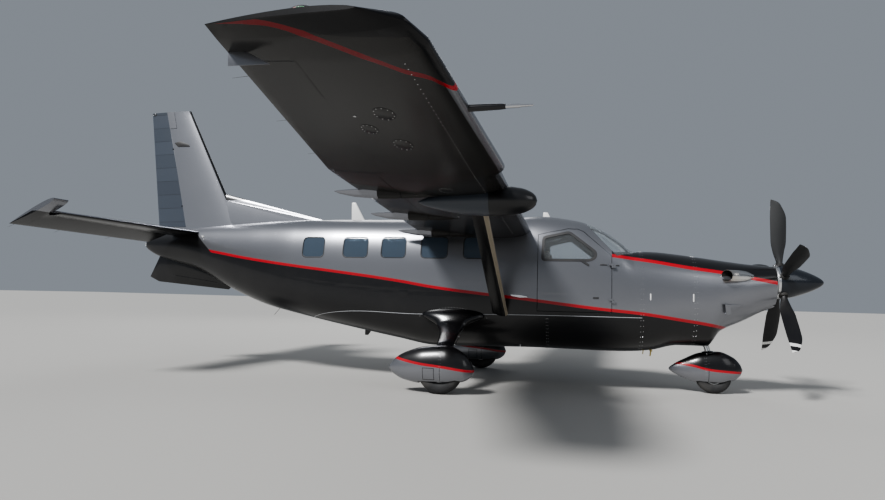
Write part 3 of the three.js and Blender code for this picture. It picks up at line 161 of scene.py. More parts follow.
# Propeller: sections from the root to the tip, as reach ahead and behind the blade's own line
Blade = namedtuple("Blade", "r fore aft thick turn")
BLADE = [Blade(*row) for row in (
    (0.120, 0.046, 0.046, 0.092, 1.50),
    (0.268, 0.042, 0.042, 0.064, 1.50),
    (0.430, 0.062, 0.082, 0.038, 1.48),
    (0.600, 0.094, 0.107, 0.030, 1.44),
    (0.940, 0.104, 0.106, 0.021, 1.35),
    (1.150, 0.040, 0.097, 0.014, 1.28),
    (1.245, -0.024, 0.093, 0.010, 1.26),
)]
BLADES = 5
BLADE_PHASE = -0.035
BLADE_TIP_CUT = 0.028
BLADE_STATION = 0.576
HUB_HEIGHT = 1.667
SPINNER = [(0.0, 0.0), (0.014, 0.030), (0.110, 0.098), (0.290, 0.178), (0.470, 0.232), (0.655, 0.255)]

# Exhaust stack: distance aft, place across, radius
EXHAUST = [(1.010, 0.330, 0.030), (1.130, 0.405, 0.072), (1.280, 0.468, 0.084), (1.460, 0.512, 0.086)]
EXHAUST_HEIGHT = 1.726
EXHAUST_WALL = 0.006

# Pod and boom under the right wing: distances aft and radii, places across and heights
POD_Y, POD_Z = -3.200, 2.395
POD = [
    (3.860, 0.0), (3.875, 0.048), (3.930, 0.098), (4.030, 0.138), (4.180, 0.160), (4.360, 0.166),
    (4.620, 0.150), (4.900, 0.104), (5.120, 0.046), (5.220, 0.0),
]
BOOM_Y, BOOM_Z, BOOM_FRONT, BOOM_REAR = -5.450, 2.717, 3.711, 4.190

# The strut's ends: distance aft, place across, height and chord
STRUT_FOOT = (4.597, 0.690, 1.084, 0.228)
STRUT_HEAD = (4.567, 3.000, 2.468, 0.198)
STRUT_THICK = 0.064

# Plates on the tail and the wing's tip, the dorsal fillet and the rudder's guides, as distances aft and heights
VENTRAL = [(9.560, 1.480), (9.700, 1.356), (11.184, 1.475), (11.385, 1.563), (11.205, 1.945),
           (11.200, 2.060)]
VENTRAL_HALF = 0.015
VENTRAL_RIB = [(9.95, 1.475), (10.90, 1.60), (10.90, 1.612), (9.95, 1.487)]
# The tip plate's outline follows the sunlit patch on the aileron's outboard end, so the plate is partly painted
# light
SUNLIT_TIP_PLATE = [(5.178, 2.685), (5.371, 2.790), (5.4675, 2.790), (5.462, 2.692)]
DORSAL_FRONT, DORSAL_REAR, DORSAL_BASE, DORSAL_TOP = 7.760, 9.900, 2.560, 3.132
RUDDER_GUIDE = [
    (11.000, 4.120), (10.878, 4.146), (10.682, 4.083), (10.660, 4.030), (10.923, 4.046), (10.980, 4.094),
]

# Tails of the flap fairings, left silver as painted sunlight against the underside's painted shade: places
# across, half width, and distance aft of their front
FAIRING_PLACES, FAIRING_HALF, FAIRING_SUNLIT_FRONT = (0.832, 2.070, 3.290), 0.08, 5.66

# Panels and openings in the body's sides, as distances aft and heights
CREW_GLASS = [
    (3.290, 1.906), (3.208, 1.950), (3.196, 2.035), (3.590, 2.345), (3.972, 2.258), (3.982, 1.906),
]
WINDOWS = [(4.790, 5.180), (5.440, 5.860), (6.120, 6.520), (6.760, 7.180), (7.530, 7.920)]
WINDOW_BASE, WINDOW_TOP, WINDOW_CORNER = 1.925, 2.250, 0.062
COWL_SPLIT, FIREWALL = 1.810, 2.553
POD_SEAM_END = 7.95
POD_SEAM = [(2.553, 1.095), (4.500, 1.082), (5.800, 1.050), (7.360, 1.028), (7.960, 0.880)]

# Seats: distance aft, place across, height of the back
FLOOR_TOP = 1.140
SEAT_Y, SEAT_BACK = 0.345, 1.930
CREW_SEAT = 3.650
CABIN_SEATS = (4.750, 5.600, 6.350)

# Wing sections: distance from the centre, leading and trailing edges, thickness ratio
Foil = namedtuple("Foil", "place lead trail thick")
WING = [
    Foil(0.430, 4.180, 5.907, 0.170),
    Foil(3.870, 4.180, 5.907, 0.170),
    Foil(3.960, 4.118, 5.907, 0.165),
    Foil(4.130, 4.122, 5.907, 0.165),
    Foil(6.450, 4.220, 5.493, 0.145),
    Foil(6.700, 4.290, 5.450, 0.115),
    Foil(6.858, 4.520, 5.420, 0.040),
]
FOIL_SIDES = 20
WING_HEIGHT = 2.317
DIHEDRAL = 0.074
INCIDENCE = 0.018
CAMBER = 0.02
CAMBER_PEAK = 0.4
FIN = [Foil(2.330, 9.440, 11.246, 0.100), Foil(4.735, 10.712, 11.580, 0.085)]
TAIL = [
    Foil(0.060, 10.216, 11.289, 0.105), Foil(2.799, 10.6064, 11.289, 0.100),
    Foil(2.800, 10.455, 11.289, 0.095), Foil(3.030, 10.462, 11.289, 0.090),
]
TAIL_HEIGHT = 2.376
TAIL_HINGE = 10.862
ELEVATOR_DROOP = 0.44
WICK_FOOT = 11.23

# Camera, from the photograph's perspective, in metres and radians
CAMERA_PLACE = (2.463, -9.650, 1.325)
CAMERA_YAW = 0.2403
CAMERA_PITCH = 0.0786
CAMERA_ROLL = 0.026
CAMERA_LENS = 24.13
SENSOR_WIDTH = 36.0

# Paint lines: heights on the body and the pants, and places across the wing, at distances aft
LOW_LINE = [
    (0.60, 0.80), (1.20, 0.93), (1.55, 1.008), (2.06, 1.087), (2.55, 1.154), (3.15, 1.207),
    (4.45, 1.345), (4.78, 1.376), (5.69, 1.478), (6.18, 1.554), (7.38, 1.701), (7.91, 1.759),
    (9.18, 1.921), (9.53, 1.978), (10.30, 2.10), (11.40, 2.30),
]
HIGH_LINE = [
    (0.20, 1.56), (0.77, 1.659), (1.00, 1.697), (1.44, 1.775), (1.88, 1.833), (2.43, 1.922),
    (2.85, 1.977), (3.60, 2.06), (11.40, 2.80),
]
NOSE_PAINT_END = 2.975
TAIL_SLANT, TAIL_SLANT_EDGE = 1.165, -1.731
RADOME_SEAM = 4.375
RUDDER_FOOT, RUDDER_RAKE = 9.944, 0.2716
RUDDER_BAY = 0.26
MAIN_PANT_LINE = [(4.70, 0.318), (4.873, 0.334), (5.206, 0.380), (5.545, 0.411), (5.866, 0.460), (6.05, 0.50)]
NOSE_PANT_LINE = [(1.05, 0.320), (1.354, 0.338), (1.578, 0.356), (1.805, 0.404), (2.006, 0.424), (2.15, 0.44)]
MAIN_PANT_SEAM, NOSE_PANT_SEAM, NOSE_PANT_SCREWS = 5.249, 1.580, 1.620
PANT_COVER = (5.408, 0.280, 0.078)
WING_ARC = [
    (4.10, 5.60), (4.232, 5.925), (4.306, 6.118), (4.433, 6.253), (4.556, 6.406), (4.679, 6.528),
    (4.797, 6.644), (4.916, 6.742), (5.024, 6.809), (5.186, 6.854), (5.50, 6.90),
]
WING_TIP_LINE = [
    (4.10, 6.54), (4.242, 6.570), (4.471, 6.640), (4.672, 6.677), (4.863, 6.738), (5.037, 6.825),
    (5.50, 6.95),
]
TIP_PAINT = 6.85
ARC_HALF = 0.035
SEAM_HALF, GAP_HALF = 0.004, 0.003
BLADE_BANDS = (1.085, 1.135, 1.205)
SPINNER_BAND = 0.622
HEAT_START = 1.20
GUARD_WIDTH, GUARD_SPREAD = 0.032, 0.012
FIN_EDGE_BASE = 3.0
SEAM_COLOUR = (0.45, 0.46, 0.48)
BAND_WHITE, BAND_STEEL = (0.72, 0.72, 0.70), (0.75, 0.75, 0.76)
STACK_STEEL, STACK_BROWN = (0.72, 0.71, 0.70), (0.58, 0.51, 0.44)
GUARD_TAN = (0.30, 0.26, 0.20)

# Chart distances where the wing's dark underside, painted shade over its silver, and its outer panel begin, and
# the fin's dark edge ends
UNDER_SHADE_EDGE, OUTER_EDGE, FIN_EDGE = -0.045, -0.046, 0.035

# Pitch of the rivets along a row: on the body and fin, and on the wings, tailplane and rudder
BODY_PITCH, FOIL_PITCH = 0.032, 0.03

# Smooth skins: how far off the solid points still settle, the lining's depth, and where normals follow
SETTLE_REACH, SETTLE_CORE = 0.02, 0.6
LINING_DEPTH = 0.012
WELD = 0.00004
NORMAL_REACH, NORMAL_FACING, NORMAL_STEP = 0.03, 0.86, 0.004
FACING_DOWN = -0.1
PANT_WAIST, PANT_UP, PANT_LOW = 0.42, 2.1, 2.2
SPINE, SPINE_CAMBER = 0.3, 0.94
CURVE_TOP = 8.0
ANGLES = np.linspace(-math.pi, math.pi, 721)


def x_of(s):
    return NOSE_TIP - s


def at(s, y, z):
    """A point by its distance aft, its place across and its height."""
    return Vector((x_of(s), y, z))


# Smooth skins


def eased(xs, ys, where):
    """A monotone smooth curve through points."""
    xs, ys, where = (np.asarray(v, float) for v in (xs, ys, where))
    step = np.diff(xs)
    slope = np.diff(ys) / step
    both = slope[:-1] * slope[1:]
    total = np.where(both > 0, slope[:-1] + slope[1:], 1.0)
    tangent = np.concatenate([slope[:1], np.where(both > 0, 2 * both / total, 0), slope[-1:]])
    i = np.clip(np.searchsorted(xs, where) - 1, 0, len(xs) - 2)
    t = np.clip((where - xs[i]) / step[i], 0, 1)
    rise = t * t * (3 - 2 * t)
    lift = t * (1 - t) ** 2 * tangent[i] - t * t * (1 - t) * tangent[i + 1]
    return ys[i] * (1 - rise) + ys[i + 1] * rise + lift * step[i]


def squarish(turns, half, top, base, wide, up, low):
    """Points of a superellipse section, as an array of (across, height)."""
    c, d = np.cos(2 * math.pi * turns), np.sin(2 * math.pi * turns)
    power = np.where(d >= 0, 2 / up, 2 / low)
    reach = np.where(d >= 0, top - wide, wide - base)
    across = half * np.sign(c) * np.abs(c) ** power
    return np.stack([across, wide + reach * np.sign(d) * np.abs(d) ** power], 1)


def radii(loop, centre):
    """Distance from a centre to a closed loop of points at each of ANGLES."""
    away = loop - centre
    angle = np.arctan2(away[:, 1], away[:, 0])
    order = np.argsort(angle)
    reach = np.hypot(away[:, 0], away[:, 1])
    return np.interp(ANGLES, angle[order], reach[order], period=2 * math.pi)


def along_edges(corners, parts=12):
    """Points spread evenly over the straight edges between corners."""
    after = np.roll(corners, -1, 0)
    shares = np.arange(parts) / parts
    return np.concatenate([corners * (1 - t) + after * t for t in shares])


class Skin:
    """A smooth skin and the flat-sided solid under it, as radii about a centre line."""

    def __init__(self, axis, values, centres, flat, smooth):
        self.axis = axis
        self.others = [i for i in range(3) if i != axis]
        self.values = values
        self.centres = centres
        self.flat = np.stack([radii(flat(v), c) for v, c in zip(values, centres)])
        self.smooth = np.stack([radii(smooth(v), c) for v, c in zip(values, centres)])

    def polar(self, points):
        along = points[:, self.axis]
        centre = np.stack([np.interp(along, self.values, self.centres[:, i]) for i in (0, 1)], 1)
        away = points[:, self.others] - centre
        return away, np.hypot(away[:, 0], away[:, 1]), np.arctan2(away[:, 1], away[:, 0])

    def reach(self, table, points, angle):
        row = np.interp(points[:, self.axis], self.values, np.arange(len(self.values)))
        column = (angle + math.pi) / (ANGLES[1] - ANGLES[0])
        i = np.clip(row.astype(int), 0, len(self.values) - 2)
        j = np.clip(column.astype(int), 0, len(ANGLES) - 2)
        u, v = row - i, column - j
        near = table[i, j] * (1 - v) + table[i, j + 1] * v
        far = table[i + 1, j] * (1 - v) + table[i + 1, j + 1] * v
        return near * (1 - u) + far * u

    def settle(self, points):
        """Points on the flat-sided solid, carried over to the smooth skin."""
        away, radius, angle = self.polar(points)
        flat = self.reach(self.flat, points, angle)
        shift = self.reach(self.smooth, points, angle) - flat
        share = np.clip(radius / (SETTLE_CORE * flat), 0, 1) * shift / np.maximum(radius, 1e-6)
        share = share * np.clip(1 - (radius - flat) / SETTLE_REACH, 0, 1)
        settled = points.copy()
        settled[:, self.others] += away * share[:, None]
        return settled

    def section(self, along):
        """The smooth section at a place along the axis: its centre and its points, by ANGLES."""
        row = float(np.interp(along, self.values, np.arange(len(self.values))))
        i = min(int(row), len(self.values) - 2)
        u = row - i
        centre = self.centres[i] * (1 - u) + self.centres[i + 1] * u
        reach = self.smooth[i] * (1 - u) + self.smooth[i + 1] * u
        return centre, centre[0] + reach * np.cos(ANGLES), centre[1] + reach * np.sin(ANGLES)

    def place(self, point, lift=0.0):
        """A point near the skin and the skin's normal there, raised off it by lift."""
        point = np.array([point], float)
        normal = self.normals(point)[0]
        return Vector(point[0] + normal * lift), Vector(normal)

    def on_side(self, s, height, side, lift=0.0):
        """A place on the left (1) or right (-1) side, for a skin that runs along X."""
        centre, across, heights = self.section(x_of(s))
        half = np.abs(ANGLES) <= math.pi / 2
        y = float(np.interp(height, heights[half], across[half])) - centre[0]
        return self.place((x_of(s), centre[0] + side * y, height), lift)

    def on_round(self, s, turn, lift=0.0):
        """A place round a skin that runs along X, at an angle from its left side."""
        _, across, heights = self.section(x_of(s))
        y, z = (float(np.interp(turn, ANGLES, values, period=2 * math.pi)) for values in (across, heights))
        return self.place((x_of(s), y, z), lift)

    def on_foil(self, along, s, upper, lift=0.0):
        """A place on the upper or lower side of a wing-like skin."""
        _, across, heights = self.section(along)
        half = np.flatnonzero(ANGLES >= 0)[::-1] if upper else np.flatnonzero(ANGLES <= 0)
        z = float(np.interp(x_of(s), across[half], heights[half]))
        return self.place((x_of(s), along, z), lift)

    def depth(self, points):
        _, radius, angle = self.polar(points)
        return radius - self.reach(self.smooth, points, angle)

    def normals(self, points):
        slopes = []
        for i in range(3):
            shift = np.zeros(3)
            shift[i] = NORMAL_STEP
            slopes.append(self.depth(points + shift) - self.depth(points - shift))
        slopes = np.stack(slopes, 1)
        return slopes / np.maximum(np.linalg.norm(slopes, axis=1), 1e-9)[:, None]


def between(rows, key, value, loop):
    """Straight-line blend of the loops at the rows on either side of a value."""
    places = [getattr(row, key) for row in rows]
    i = int(np.clip(np.searchsorted(places, value) - 1, 0, len(rows) - 2))
    t = np.clip((value - places[i]) / (places[i + 1] - places[i]), 0, 1)
    return loop(rows[i]) * (1 - t) + loop(rows[i + 1]) * t


def column(rows, key):
    return np.array([getattr(row, key) for row in rows])


def hull_skin(rows, stations, y, sides, parts, loop, middle):
    """A skin along X: loop gives a section's points, and middle its centre's height, from a row's sizes."""
    coarse = np.arange(sides) / sides
    fine = np.arange(0, 1, 1 / parts)
    keys = rows[0]._fields[1:]

    def placed(points):
        points[:, 0] += y
        return points

    def flat(x):
        return along_edges(between(rows, "s", NOSE_TIP - x, lambda row: placed(loop(coarse, *row[1:]))))

    def smooth(x):
        sizes = (float(eased(column(rows, "s"), column(rows, key), NOSE_TIP - x)) for key in keys)
        return placed(loop(fine, *sizes))

    heights = middle(*(np.interp(stations, column(rows, "s"), column(rows, key)) for key in keys))
    centres = np.stack([np.full(len(stations), y), heights], 1)
    return Skin(0, NOSE_TIP - stations, centres, flat, smooth)


def body_loop(turns, top, base, half, wide, up, low):
    return squarish(turns, half, top, base, wide, up, low)


def pant_loop(turns, half, top, base):
    return squarish(turns, half, top, base, pant_middle(half, top, base), PANT_UP, PANT_LOW)


def pant_middle(half, top, base):
    return base + PANT_WAIST * (top - base)


def foil_loop(turns, lead, trail, thick, bend=0.0, tilt=0.0, limit=1.0):
    """An aerofoil section as (distance aft, height)."""
    angle = 2 * math.pi * turns
    f = np.minimum(0.5 * (1 + np.cos(angle)), limit)
    root = 0.2969 * np.sqrt(f) - 0.126 * f - 0.3516 * f**2 + 0.2843 * f**3 - 0.1036 * f**4
    fore = bend / CAMBER_PEAK**2 * (2 * CAMBER_PEAK * f - f**2)
    aft = bend / (1 - CAMBER_PEAK) ** 2 * (1 - 2 * CAMBER_PEAK + 2 * CAMBER_PEAK * f - f**2)
    middle = np.where(f < CAMBER_PEAK, fore, aft) - tilt * f
    chord = trail - lead
    height = (middle + np.sign(np.sin(angle)) * 5 * thick * root) * chord
    return np.stack([lead + f * chord, height], 1)


def foil_skin(axis, rows, height, rise=0.0, bend=0.0, tilt=0.0, mirror=1):
    """A wing-like skin: axis is its span, height its middle at the centre line, mirror 0 both sides."""
    coarse = (np.arange(FOIL_SIDES) + 0.5) / FOIL_SIDES
    fine = np.arange(0, 1, 1 / 1440)
    limit = 0.5 * (1 + math.cos(math.pi / FOIL_SIDES))
    spread = np.linspace(rows[0].place, rows[-1].place, 160)
    spans = np.unique(np.concatenate([spread, column(rows, "place")]))

    def section(place, turns, cap):
        loop = between(rows, "place", place, lambda row: foil_loop(turns, *row[1:], bend, tilt, cap))
        return np.stack([NOSE_TIP - loop[:, 0], loop[:, 1] + height + rise * place], 1)

    def flat(place):
        return along_edges(section(abs(place), coarse, 1.0))

    def smooth(place):
        return section(abs(place), fine, limit)

    lead, trail = (np.interp(spans, column(rows, "place"), column(rows, key)) for key in ("lead", "trail"))
    chords = trail - lead
    middle = bend * SPINE_CAMBER - tilt * SPINE
    centres = np.stack([NOSE_TIP - lead - SPINE * chords, height + rise * spans + middle * chords], 1)
    order = slice(None) if mirror > 0 else slice(None, None, -1)
    if mirror == 0:
        both = np.concatenate([-spans[::-1], spans])
        made = Skin(axis, both, np.concatenate([centres[::-1], centres]), flat, smooth)
        made.leads = np.concatenate([NOSE_TIP - lead[::-1], NOSE_TIP - lead])
        return made
    made = Skin(axis, (spans * mirror)[order], centres[order], flat, smooth)
    made.leads = (NOSE_TIP - lead)[order]
    return made


def planes(box, axis, step):
    """Cutting planes across an axis through a box, a step apart."""
    low, high = box
    normal = Vector([float(i == axis) for i in range(3)])
    count = int((high[axis] - low[axis]) / step)
    places = [low[axis] + (k + 0.5) * (high[axis] - low[axis]) / max(count, 1) for k in range(count)]
    made = []
    for place in places:
        point = (low + high) / 2
        point[axis] = place
        made.append((point, normal))
    return made


def finish_mesh(name, bm, finish, body="airframe", smooth=0.6):
    """Makes a bmesh an object that rides on a body, with edges sharper than smooth kept crisp."""
    mesh = bpy.data.meshes.new(name)
    bm.to_mesh(mesh)
    bm.free()
    mesh.polygons.foreach_set("use_smooth", [True] * len(mesh.polygons))
    mesh.set_sharp_from_angle(angle=smooth)
    piece = bpy.data.objects.new(name, mesh)
    bpy.context.scene.collection.objects.link(piece)
    mesh.materials.append(MATERIALS[finish])
    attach(piece, body)
    return piece


def lay_chart(mesh, skin):
    """A UV chart: place along the span, and distance from the leading edge, less than 0 below."""
    corners = np.zeros(len(mesh.loops), np.int32)
    mesh.loops.foreach_get("vertex_index", corners)
    points = np.zeros(3 * len(mesh.vertices))
    mesh.vertices.foreach_get("co", points)
    points = points.reshape(-1, 3)[corners]
    facing = np.zeros(3 * len(mesh.polygons))
    mesh.polygons.foreach_get("normal", facing)
    sizes = np.zeros(len(mesh.polygons), np.int32)
    mesh.polygons.foreach_get("loop_total", sizes)
    span, thick = skin.axis, skin.others[1]
    sign = np.repeat(np.where(facing.reshape(-1, 3)[:, thick] >= FACING_DOWN, 1.0, -1.0), sizes)
    lead = np.interp(points[:, span], skin.values, skin.leads)
    chart = mesh.uv_layers.new(name="foil_chart")
    across = (lead - points[:, skin.others[0]]) * sign
    chart.data.foreach_set("uv", np.stack([np.abs(points[:, span]), across], 1).ravel())


def dressed(node, finish, skin=None, steps=(0.09, 0.06, 0.05), turn=None, smooth=0.6, chart=False,
            lining=None):
    """A node's smooth outer piece: its own mesh, cut fine and settled on a smooth skin."""
    source = NODES[node]
    bm = bmesh.new()
    bm.from_mesh(source.data)
    bmesh.ops.remove_doubles(bm, verts=bm.verts, dist=WELD)
    if turn is not None:
        bmesh.ops.transform(bm, matrix=turn, verts=bm.verts)
    if skin is not None:
        points = [v.co for v in bm.verts]
        low = Vector([min(p[i] for p in points) for i in range(3)])
        high = Vector([max(p[i] for p in points) for i in range(3)])
        for axis, step in enumerate(steps):
            for point, normal in planes((low, high), axis, step) if step else []:
                whole = bm.verts[:] + bm.edges[:] + bm.faces[:]
                bmesh.ops.bisect_plane(bm, geom=whole, dist=1e-6, plane_co=point, plane_no=normal)
        points = np.array([v.co for v in bm.verts])
        for vert, point in zip(bm.verts, skin.settle(points)):
            vert.co = point
    bm.normal_update()
    shape = None if skin is None else corner_normals(bm, skin)
    if turn is not None:
        bmesh.ops.transform(bm, matrix=turn.inverted(), verts=bm.verts)
        if shape is not None:
            shape = shape @ np.array(turn.inverted().to_3x3()).T
    piece = finish_mesh(node + "_skin", bm, finish, source["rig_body"], smooth)
    if shape is not None:
        piece.data.normals_split_custom_set(shape.tolist())
    if chart:
        lay_chart(piece.data, skin)
    if lining is not None:
        piece.data.materials.append(MATERIALS[lining])
        sunk = skin.depth(np.array([face.center for face in piece.data.polygons])) < -LINING_DEPTH
        piece.data.polygons.foreach_set("material_index", sunk.astype(np.int32))
    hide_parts(node)
    return piece


def corner_normals(bm, skin):
    """A normal for each face corner: the smooth skin's on its two sides, the face's own on cut edges."""
    bm.verts.index_update()
    points = np.array([v.co for v in bm.verts])
    outward = skin.normals(points)
    corners = np.array([loop.vert.index for face in bm.faces for loop in face.loops])
    faces = np.array([tuple(face.normal) for face in bm.faces for _ in face.loops])
    wanted = outward[corners]
    facing = np.einsum("ij,ij->i", wanted, faces)
    near = np.abs(skin.depth(points)[corners]) < NORMAL_REACH
    follow = near & (np.abs(facing) > NORMAL_FACING)
    return np.where(follow[:, None], wanted * np.sign(facing)[:, None], faces)


# Materials


def new_group(name, inputs, outputs):
    group = bpy.data.node_groups.new(name, "ShaderNodeTree")
    kinds = {"colour": "NodeSocketColor", "value": "NodeSocketFloat", "vector": "NodeSocketVector"}
    for label, kind, *default in inputs:
        socket = group.interface.new_socket(name=label, in_out="INPUT", socket_type=kinds[kind])
        if default:
            socket.default_value = default[0]
    for label, kind in outputs:
        group.interface.new_socket(name=label, in_out="OUTPUT", socket_type=kinds[kind])
    start = group.nodes.new("NodeGroupInput")
    end = group.nodes.new("NodeGroupOutput")
    return group, start, end


def add_node(tree, kind, values=None, **settings):
    node = tree.nodes.new("ShaderNode" + kind)
    for key, value in settings.items():
        setattr(node, key, value)
    for key, value in (values or {}).items():
        node.inputs[key].default_value = value
    return node


def wire(tree, source, target):
    tree.links.new(source, target)


def maths(tree, operation, a, b=None, c=None):
    node = add_node(tree, "Math", operation=operation)
    for i, value in enumerate((a, b, c)):
        if value is None:
            continue
        if isinstance(value, (int, float)):
            node.inputs[i].default_value = value
        else:
            wire(tree, value, node.inputs[i])
    return node.outputs[0]


def mixed(tree, share, first, second):
    node = add_node(tree, "Mix", data_type="RGBA")
    for socket, value in ((node.inputs[0], share), (node.inputs[6], first), (node.inputs[7], second)):
        if isinstance(value, bpy.types.NodeSocket):
            wire(tree, value, socket)
        elif isinstance(value, (int, float)):
            socket.default_value = value
        else:
            socket.default_value = (*value[:3], 1)
    return node.outputs[2]


def object_axes(tree):
    place = add_node(tree, "TexCoord")
    split = add_node(tree, "SeparateXYZ")
    wire(tree, place.outputs["Object"], split.inputs[0])
    return place.outputs["Object"], split.outputs[0], split.outputs[1], split.outputs[2]


def chart_distance(tree):
    """Distance from the leading edge in a foil's own UV chart, less than 0 below."""
    chart = add_node(tree, "UVMap", uv_map="foil_chart")
    split = add_node(tree, "SeparateXYZ")
    wire(tree, chart.outputs[0], split.inputs[0])
    return split.outputs[1]


def surface_group():
    """Wear that every finish shares: cloudy dust, fine grain and a changing gloss."""
    inputs = [
        ("Colour", "colour"), ("Dust colour", "colour"), ("Dust", "value", 0.1), ("Roughness", "value", 0.3),
        ("Grain scale", "value", 300.0), ("Grain depth", "value", 0.1), ("Height", "value", 0.0),
    ]
    group, start, end = new_group("worn_surface", inputs, [
        ("Colour", "colour"), ("Roughness", "value"), ("Normal", "vector"),
    ])
    place, _, _, z = object_axes(group)
    clouds = add_node(group, "TexNoise", {"Scale": 2.2, "Detail": 5.0, "Roughness": 0.6})
    grain = add_node(group, "TexNoise", {"Detail": 2.0})
    wire(group, place, clouds.inputs["Vector"])
    wire(group, place, grain.inputs["Vector"])
    wire(group, start.outputs["Grain scale"], grain.inputs["Scale"])
    spread = add_node(group, "MapRange", {"From Min": 0.45, "From Max": 0.8})
    wire(group, clouds.outputs[0], spread.inputs[0])
    share = both(group, spread.outputs[0], start.outputs["Dust"])
    wire(group, mixed(group, share, start.outputs["Colour"], start.outputs["Dust colour"]),
         end.inputs["Colour"])
    gloss = maths(group, "MULTIPLY_ADD", share, 0.5, start.outputs["Roughness"])
    ripple = maths(group, "MULTIPLY_ADD", grain.outputs[0], 0.04, gloss)
    wire(group, maths(group, "SUBTRACT", ripple, 0.02), end.inputs["Roughness"])
    height = both(group, grain.outputs[0], start.outputs["Grain depth"])
    total = maths(group, "ADD", height, start.outputs["Height"])
    bump = add_node(group, "Bump", {"Strength": 0.6, "Distance": 0.001})
    wire(group, total, bump.inputs["Height"])
    wire(group, bump.outputs[0], end.inputs["Normal"])
    return group


def rivet_group():
    """Rows of flush rivets: two coordinates in metres give a height."""
    inputs = [
        ("Along", "value"), ("Across", "value"), ("Pitch", "value", 0.03), ("Rows", "value", 0.3),
        ("Radius", "value", 0.003),
    ]
    group, start, end = new_group("rivet_rows", inputs, [("Height", "value")])
    offsets = []
    for coordinate, step in (("Along", "Pitch"), ("Across", "Rows")):
        scaled = maths(group, "DIVIDE", start.outputs[coordinate], start.outputs[step])
        centred = maths(group, "SUBTRACT", maths(group, "FRACT", scaled), 0.5)
        offsets.append(both(group, centred, start.outputs[step]))
    squares = [both(group, offset, offset) for offset in offsets]
    distance = maths(group, "SQRT", maths(group, "ADD", *squares))
    share = maths(group, "DIVIDE", distance, start.outputs["Radius"])
    inside = maths(group, "LESS_THAN", share, 0.75)
    wire(group, both(group, inside, 0.5), end.inputs["Height"])
    return group


def line_value(tree, along, points, highest=CURVE_TOP):
    """The value of a paint line at a place along the plane, by a curve through points."""
    low, high = x_of(11.58), x_of(0.0)
    spread = add_node(tree, "MapRange", {"From Min": low, "From Max": high})
    wire(tree, along, spread.inputs[0])
    curve = add_node(tree, "FloatCurve")
    line = curve.mapping.curves[0]
    ordered = sorted(((x_of(s) - low) / (high - low), value / highest) for s, value in points)
    line.points[0].location = ordered[0]
    line.points[1].location = ordered[-1]
    for place in ordered[1:-1]:
        line.points.new(*place)
    curve.mapping.update()
    wire(tree, spread.outputs[0], curve.inputs["Value"])
    return both(tree, curve.outputs[0], highest)


def rivet_rows(tree, along, across, pitch, rows):
    node = add_node(tree, "Group")
    node.node_tree = bpy.data.node_groups["rivet_rows"]
    wire(tree, along, node.inputs["Along"])
    wire(tree, across, node.inputs["Across"])
    node.inputs["Pitch"].default_value = pitch
    node.inputs["Rows"].default_value = rows
    return node.outputs["Height"]


def stripe_masks(tree, height, line, width):
    """Masks of what lies below a paint line and of the stripe along it."""
    above = minus(tree, height, line)
    return less(tree, above, 0.0), less(tree, maths(tree, "ABSOLUTE", above), width / 2)


def shader_material(name, paint, groups, colour, roughness=0.3, dust=0.1, grain=(300.0, 0.05),
                    dust_colour=(0.32, 0.30, 0.27), **sockets):
    """A material whose colour may be a plain colour or a socket made by a function of its tree."""
    material = bpy.data.materials.new(name)
    material.use_nodes = True
    tree = material.node_tree
    tree.nodes.clear()
    shader = add_node(tree, "BsdfPrincipled")
    output = add_node(tree, "OutputMaterial")
    wire(tree, shader.outputs[0], output.inputs[0])
    worn = add_node(tree, "Group")
    worn.node_tree = groups["worn_surface"]
    made = colour(tree, paint) if callable(colour) else {"Colour": colour}
    for key, value in made.items():
        target = worn.inputs[key] if key in worn.inputs else shader.inputs[key]
        if isinstance(value, bpy.types.NodeSocket):
            wire(tree, value, target)
        else:
            target.default_value = value if isinstance(value, float) else (*value[:3], 1)
    worn.inputs["Dust colour"].default_value = (*dust_colour, 1)
    worn.inputs["Dust"].default_value = dust
    if "Roughness" not in made:
        worn.inputs["Roughness"].default_value = roughness
    worn.inputs["Grain scale"].default_value, worn.inputs["Grain depth"].default_value = grain
    wire(tree, worn.outputs["Colour"], shader.inputs["Base Color"])
    wire(tree, worn.outputs["Roughness"], shader.inputs["Roughness"])
    wire(tree, worn.outputs["Normal"], shader.inputs["Normal"])
    for key, value in sockets.items():
        shader.inputs[key.replace("_", " ")].default_value = value
    return material


def minus(tree, a, b):
    return maths(tree, "SUBTRACT", a, b)


def apart(tree, a, b):
    """How far apart two values are."""
    return maths(tree, "ABSOLUTE", minus(tree, a, b))


def less(tree, a, b):
    return maths(tree, "LESS_THAN", a, b)


def more(tree, a, b):
    return maths(tree, "GREATER_THAN", a, b)


def both(tree, a, b):
    return maths(tree, "MULTIPLY", a, b)


def either(tree, a, b):
    return maths(tree, "MAXIMUM", a, b)


def without(tree, mask):
    return minus(tree, 1.0, mask)


def painted(tree, silver, red, base, stripe):
    """Red stripe over silver and another paint; silver is the only paint with metal flake."""
    return {
        "Colour": mixed(tree, red, base, stripe),
        "Metallic": both(tree, both(tree, silver, without(tree, red)), 0.8),
    }


